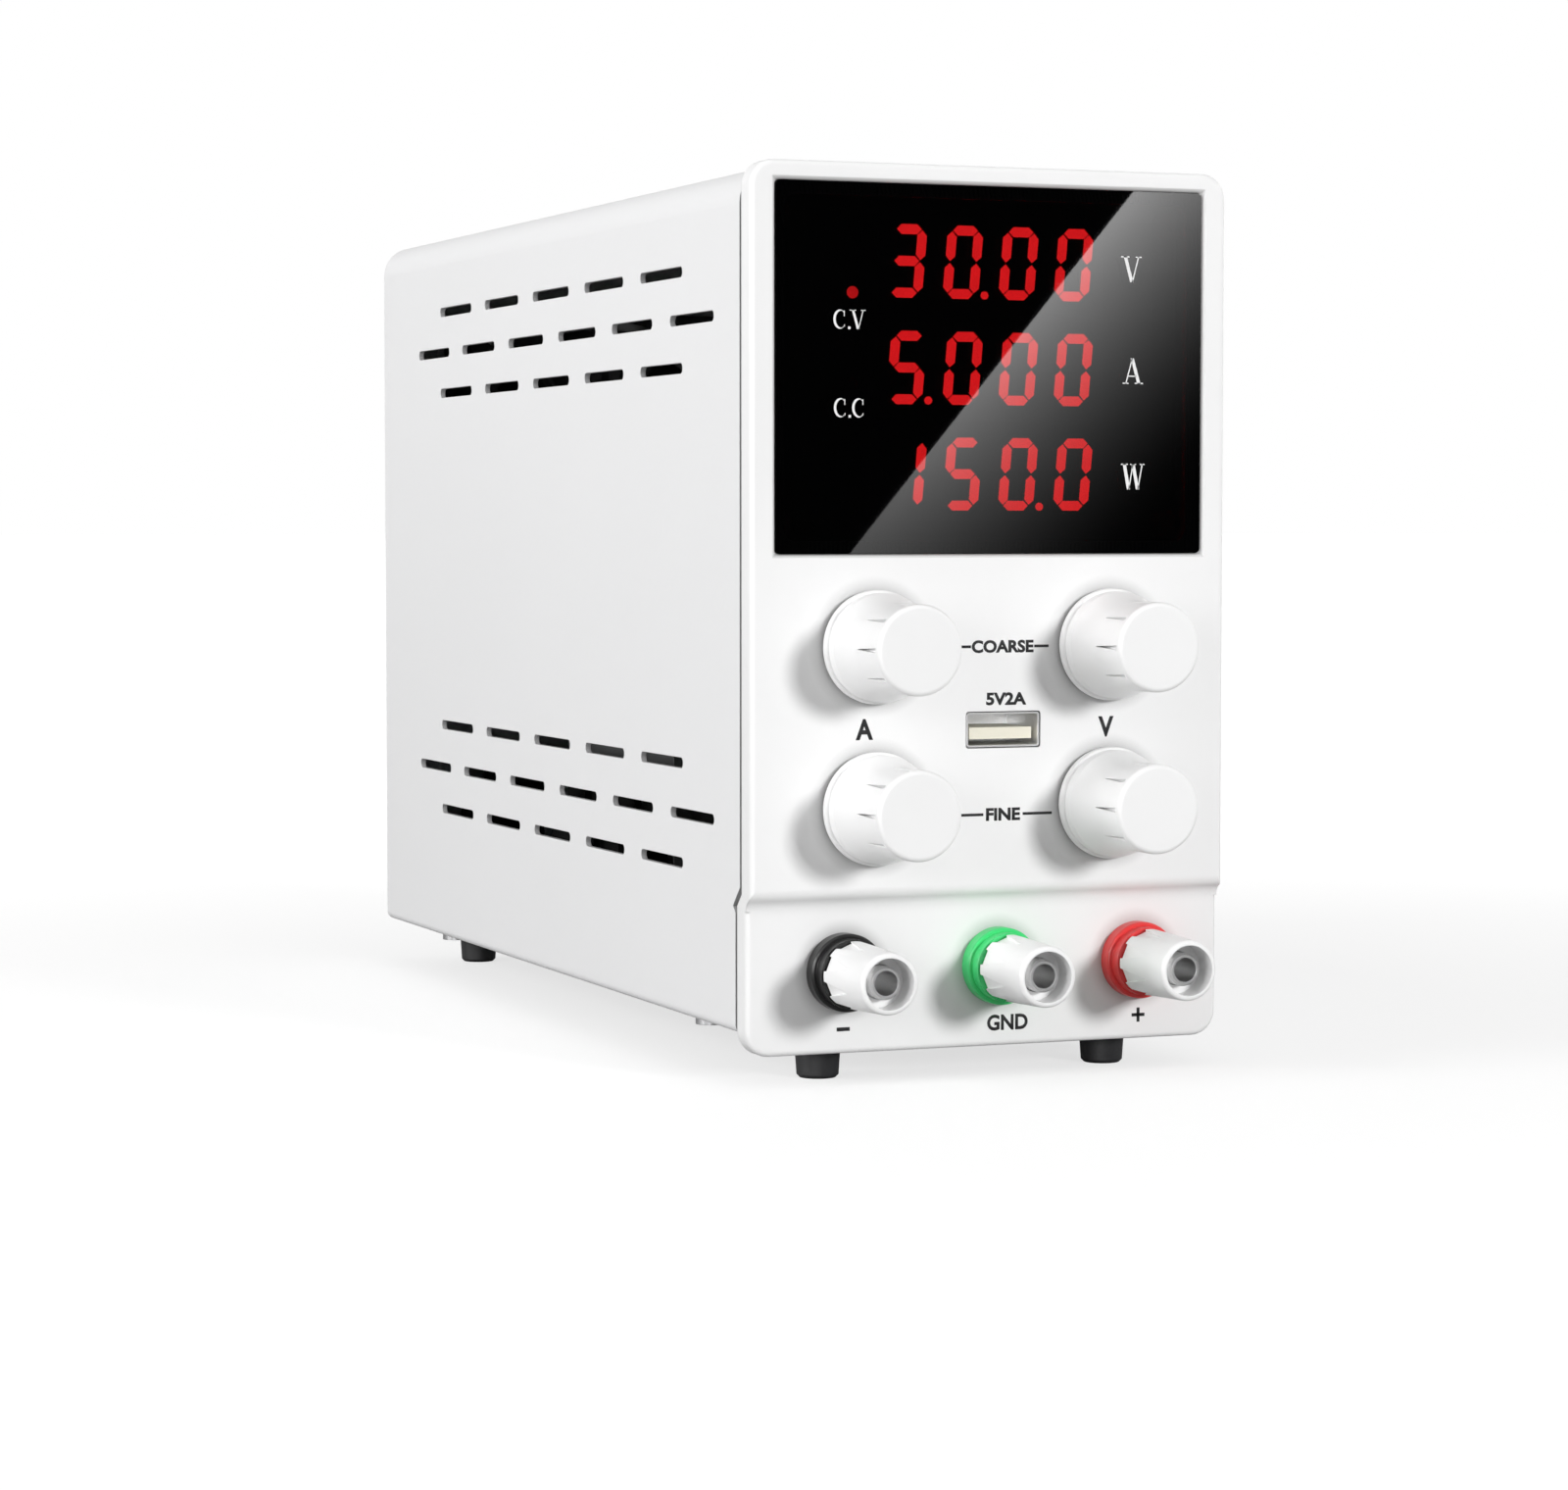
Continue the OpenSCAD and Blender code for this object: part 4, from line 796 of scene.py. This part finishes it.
def serif_letter(letter, h):
    """Strokes of a serif capital of height h, in shares of it; its middle is the origin."""
    thick, thin, foot = 0.14 * h, 0.05 * h, 0.045 * h
    if letter == "V":
        parts = [slanted(0, -0.29 * h, h, thick), slanted(0.02 * h, 0.29 * h, h, thin),
                 bar(-0.29 * h, h - foot / 2, 0.36 * h, foot),
                 bar(0.29 * h, h - foot / 2, 0.26 * h, foot)]
    elif letter == "A":
        parts = [slanted(-0.29 * h, 0, h, thin), slanted(0.28 * h, -0.01 * h, h, thick),
                 bar(0, 0.3 * h, 0.36 * h, foot),
                 bar(-0.29 * h, foot / 2, 0.26 * h, foot),
                 bar(0.28 * h, foot / 2, 0.36 * h, foot)]
    elif letter == "W":
        parts = [slanted(-0.19 * h, -0.38 * h, h, thick), slanted(-0.18 * h, 0.0, h, thin),
                 slanted(0.2 * h, 0.0, h, thick), slanted(0.21 * h, 0.4 * h, h, thin),
                 bar(-0.37 * h, h - foot / 2, 0.3 * h, foot),
                 bar(0.0, h - foot / 2, 0.26 * h, foot),
                 bar(0.4 * h, h - foot / 2, 0.2 * h, foot)]
    else:
        squeeze = 0.74
        round_part = ring(0, h / 2, h / 2, 0.06 * h, squeeze)
        only(round_part)
        bpy.ops.object.mode_set(mode="EDIT")
        bpy.ops.mesh.select_all(action="DESELECT")
        bpy.ops.object.mode_set(mode="OBJECT")
        # The inner edge moves right, so that the left side is the thick one.
        for v in round_part.data.vertices:
            reach = math.hypot(v.co.x / squeeze, v.co.y - h / 2)
            v.select = reach < 0.47 * h and v.co.x < 0.12 * h
        bpy.ops.object.mode_set(mode="EDIT")
        bpy.ops.transform.translate(value=(0.09 * h, 0, 0))
        bpy.ops.mesh.select_all(action="SELECT")
        bpy.ops.mesh.bisect(plane_co=(0.22 * h, 0, 0), plane_no=(1, 0, 0), clear_outer=True)
        bpy.ops.object.mode_set(mode="OBJECT")
        parts = [round_part, bar(0.24 * h, 0.8 * h, thin, 0.3 * h),
                 bar(0.25 * h, 0.17 * h, thin * 0.8, 0.12 * h)]
    piece = joined(parts)
    piece.data.transform(Matrix.Translation((0, -h / 2, 0)))
    return piece


def shifted(piece, x):
    """Moves a flat shape sideways."""
    piece.data.transform(Matrix.Translation((x, 0, 0)))
    return piece


class SUPPLY_OT_print_window(bpy.types.Operator):
    """Print the units and the two mode names on the window"""

    bl_idname = "supply.print_window"
    bl_label = "Print the window"

    def execute(self, context):
        marks = context.scene.supply_marks
        ink = printed_ink("white_ink", (0.86, 0.86, 0.86)).material

        def lay(name, at, parts):
            piece = thickened(joined(parts), marks.ink_height)
            settle(piece, name, on_face(at, Vector((0, -1, 0))), ROOT, ink)

        top = spot(POINTS["unit_volt"], nodes["display_window"])[0]
        low = spot(POINTS["unit_watt"], nodes["display_window"])[0]
        for letter, name, share in (("V", "unit_volt", 0.0), ("A", "unit_ampere", 0.49),
                                    ("W", "unit_watt", 1.0)):
            lay(name, top.lerp(low, share), [serif_letter(letter, marks.unit_height)])
        h = marks.mode_height
        dot = 0.14 * h
        for second, name in (("V", "mode_voltage"), ("C", "mode_current")):
            at = spot(POINTS[name], nodes["display_window"])[0]
            lay(name, at, [shifted(serif_letter("C", h), -0.52 * h), bar(0, -0.44 * h, dot, dot),
                           shifted(serif_letter(second, h), 0.5 * h)])
        return {"FINISHED"}


class SUPPLY_OT_mark_rocker(bpy.types.Operator):
    """Print the bar and the ring on the two halves of the power rocker"""

    bl_idname = "supply.mark_rocker"
    bl_label = "Mark the rocker"

    def execute(self, context):
        ink = printed_ink("rocker_ink", (0.8, 0.8, 0.8)).material
        tree = surface(nodes["power_rocker"])
        low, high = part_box("power_rocker")
        middle = (low + high) / 2
        height = context.scene.supply_marks.ink_height
        from_axis, behind = 4.2 * MM, 50 * MM
        for name, side, shape in (("rocker_on", 1, lambda: bar(0, 0, 0.5 * MM, 3.2 * MM)),
                                  ("rocker_off", -1, lambda: ring(0, 0, 1.7 * MM, 0.45 * MM))):
            start = Vector((middle.x, high.y + behind, middle.z + side * from_axis))
            at, normal = tree.ray_cast(start, Vector((0, -1, 0)))[:2]
            piece = thickened(shape(), height)
            settle(piece, name, on_face(at, normal), "power_rocker", ink)
        return {"FINISHED"}


class SUPPLY_OT_set_stage(bpy.types.Operator):
    """Set the camera, the floor, the lamps and the card mirrored in the window"""

    bl_idname = "supply.set_stage"
    bl_label = "Set the stage"

    def execute(self, context):
        stage = context.scene.supply_stage
        context.scene.view_settings.view_transform = "Standard"
        self.camera(context, stage)
        self.floor()
        self.world(context, stage)
        for name, (at, towards, size, missed_by) in LAMPS.items():
            made = self.lamp(name, at, towards, getattr(stage, name), size)
            if missed_by:
                setattr(made, missed_by, False)
        self.card(stage)
        return {"FINISHED"}

    @staticmethod
    def camera(context, stage):
        data = bpy.data.cameras.new("camera")
        data.sensor_width, data.sensor_fit, data.lens = 36.0, "AUTO", stage.lens
        data.clip_start, data.clip_end = 0.05, 60.0
        made = bpy.data.objects.new("camera", data)
        made.location = stage.camera_at
        made.rotation_euler = (math.pi / 2 - stage.dip, 0, -stage.heading)
        context.scene.collection.objects.link(made)
        context.scene.camera = made
        context.view_layer.update()

    @staticmethod
    def floor():
        """A pale floor that turns white away from the object."""
        bpy.ops.object.select_all(action="DESELECT")
        bpy.ops.mesh.primitive_plane_add(size=1, location=(0, 0, 0))
        floor = bpy.context.object
        bpy.ops.object.mode_set(mode="EDIT")
        bpy.ops.mesh.select_all(action="SELECT")
        bpy.ops.transform.resize(value=(FLOOR_SIZE, FLOOR_SIZE, 1))
        bpy.ops.object.mode_set(mode="OBJECT")
        floor.name = "floor"
        pale = (0.35, 0.35, 0.35)
        f = Finish("pale_floor", pale, 0.85)
        seen = f.named("LightPath", "Is Camera Ray")
        x, y = f.axis("X"), f.axis("Y")
        away = ((x * x + y * y).power(0.5) - FLOOR_NEAR) / (FLOOR_FAR - FLOOR_NEAR)
        white = seen * away.held()
        glow = seen * FLOOR_GLOW + white * (1.0 - FLOOR_GLOW)
        f.set(Base_Color=f.mix(white, pale, (0, 0, 0)),
              Emission_Color=f.mix(glow, (0, 0, 0), (1, 1, 1)), Emission_Strength=1.0)
        f.bump(f.noise(60.0), 0.05 * MM)
        floor.data.materials.append(f.material)
        floor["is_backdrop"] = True

    @staticmethod
    def world(context, stage):
        """White to the camera, in gloss and through the window, and dimmer as a light."""
        world = bpy.data.worlds.new("studio")
        context.scene.world = world
        world.use_nodes = True
        g = Graph(world.node_tree)
        back = next(n for n in world.node_tree.nodes if n.type == "BACKGROUND")
        seen = g.named("LightPath", "Is Camera Ray")
        for kind in ("Is Glossy Ray", "Is Transmission Ray"):
            seen = seen.math("MAXIMUM", g.named("LightPath", kind))
        plug(g.tree, back.inputs["Strength"], seen * (1.0 - stage.ambient) + stage.ambient)
        back.inputs["Color"].default_value = (1, 1, 1, 1)

    @staticmethod
    def lamp(name, at, towards, power, size):
        data = bpy.data.lights.new(name, "AREA")
        data.energy, data.shape, data.size = power, "DISK", size
        made = bpy.data.objects.new(name, data)
        made.location = at
        made.rotation_euler = (Vector(towards) - Vector(at)).to_track_quat("-Z", "Y").to_euler()
        bpy.context.scene.collection.objects.link(made)
        return made

    @staticmethod
    def card(stage):
        """A dark card with one bright part, which the window mirrors towards the camera."""
        low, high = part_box("display_window")
        eye = Vector(stage.camera_at)

        def mirrored(across, up):
            """Where the camera sees, in the window, a place given in shares of its size."""
            at = Vector((low.x + across * (high.x - low.x), low.y,
                         low.z + up * (high.z - low.z)))
            out = at - eye
            return at + Vector((out.x, -out.y, out.z))

        a, b = mirrored(EDGE_ABOVE, 1.0), mirrored(EDGE_BELOW, 0.0)
        aside, beyond = CARD_REACH
        corners = [mirrored(x, z) for x in (-aside, 1 + aside) for z in (-beyond, 1 + beyond)]
        centre = sum(corners, Vector()) / 4
        spread = max((c - centre).length for c in corners)
        bpy.ops.object.select_all(action="DESELECT")
        bpy.ops.mesh.primitive_grid_add(x_subdivisions=2, y_subdivisions=2, size=2.4 * spread)
        card = bpy.context.object
        card.name = "mirror_card"
        facing = Vector((0, low.y, centre.z)) - centre
        card.matrix_world = on_face(centre, facing)
        bpy.ops.object.transform_apply(location=True, rotation=True, scale=True)
        f = Finish("card_light", (0, 0, 0), 1.0)
        along = (b - a).normalized()
        across = facing.normalized().cross(along).normalized()
        dark = mirrored(*DARK_CORNER)
        if (dark - a).dot(across) < 0:
            across.negate()

        def share(start, way, length):
            """How far a place of the card is along a way from the start, as a share."""
            reach = f.axis("X") * way.x + f.axis("Y") * way.y + f.axis("Z") * way.z
            return (reach - start.dot(way)) / length

        far = share(a, across, (dark - a).dot(across))
        up = 1.0 - share(a, along, (b - a).length)
        glow = far.above(0.0) * (1.0 - far).held().power(FADE)
        glow = glow * (up * (1.0 - GLOW_BELOW) + GLOW_BELOW)
        f.set(Base_Color=(0, 0, 0), Emission_Color=f.mix(glow, (0, 0, 0), (1, 1, 1)),
              Emission_Strength=stage.card, Specular_IOR_Level=0.0)
        card.data.materials.append(f.material)
        card.visible_camera = card.visible_diffuse = card.visible_shadow = False
        card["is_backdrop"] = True


class SUPPLY_PT_panel(bpy.types.Panel):
    """Lists the steps that dress the supply"""

    bl_idname = "SUPPLY_PT_panel"
    bl_label = "Bench supply"
    bl_space_type = "VIEW_3D"
    bl_region_type = "UI"
    bl_category = "Supply"

    def draw(self, context):
        for group in (context.scene.supply_look, context.scene.supply_marks,
                      context.scene.supply_stage):
            box = self.layout.box()
            for key in group.bl_rna.properties.keys():
                if key not in ("rna_type", "name"):
                    box.prop(group, key)
        for step in STEPS:
            self.layout.operator(step.bl_idname)


STEPS = (SUPPLY_OT_finish_nodes, SUPPLY_OT_set_stage, SUPPLY_OT_print_bezel,
         SUPPLY_OT_print_window, SUPPLY_OT_mark_rocker)
GROUPS = {"supply_look": SupplyLook, "supply_marks": SupplyMarks, "supply_stage": SupplyStage}


def register():
    for kind in (*GROUPS.values(), *STEPS, SUPPLY_PT_panel):
        bpy.utils.register_class(kind)
    for name, kind in GROUPS.items():
        setattr(bpy.types.Scene, name, bpy.props.PointerProperty(type=kind))


def unregister():
    for name in GROUPS:
        delattr(bpy.types.Scene, name)
    for kind in (SUPPLY_PT_panel, *reversed(STEPS), *GROUPS.values()):
        bpy.utils.unregister_class(kind)


# ---------- where the result shows in the image ---


def shown_at(piece, keep=lambda v: True):
    """Middle, in the image, of what shows of a piece's vertices."""
    seen = [image_of(v.co) for v in piece.data.vertices if keep(v.co)]
    xs, ys = [p[0] for p in seen], [p[1] for p in seen]
    return (min(xs) + max(xs)) / 2, (min(ys) + max(ys)) / 2


def write_points():
    """Works out how far each thing shows from its image point."""
    everything = [image_of(v.co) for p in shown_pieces() for v in p.data.vertices]
    xs, ys = [p[0] for p in everything], [p[1] for p in everything]
    outline = {"left": min(xs), "right": max(xs), "top": min(ys), "bottom": max(ys)}
    for side, value in outline.items():
        round(value - OUTLINE[side], 1)
        "outline_" + side
    low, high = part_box("display_window")
    places = {"window_top_left": image_of(Vector((low.x, low.y, high.z))),
              "window_bottom_right": image_of(Vector((high.x, low.y, low.z)))}
    for name in ("knob_current_coarse", "post_cap_positive"):
        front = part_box(name)[0].y
        places[name] = shown_at(nodes[name], lambda c, y=front: c.y < y + 0.3 * MM)
    for name in POINTS:
        if name not in places:
            places[name] = shown_at(bpy.data.objects[name])
    for name, (x, y) in places.items():
        round(x - POINTS[name][0], 1)
        round(y - POINTS[name][1], 1)


def main():
    register()
    for step in STEPS:
        area, name = step.bl_idname.split(".")
        getattr(getattr(bpy.ops, area), name)()
    write_points()


if __name__ == "__main__":
    main()
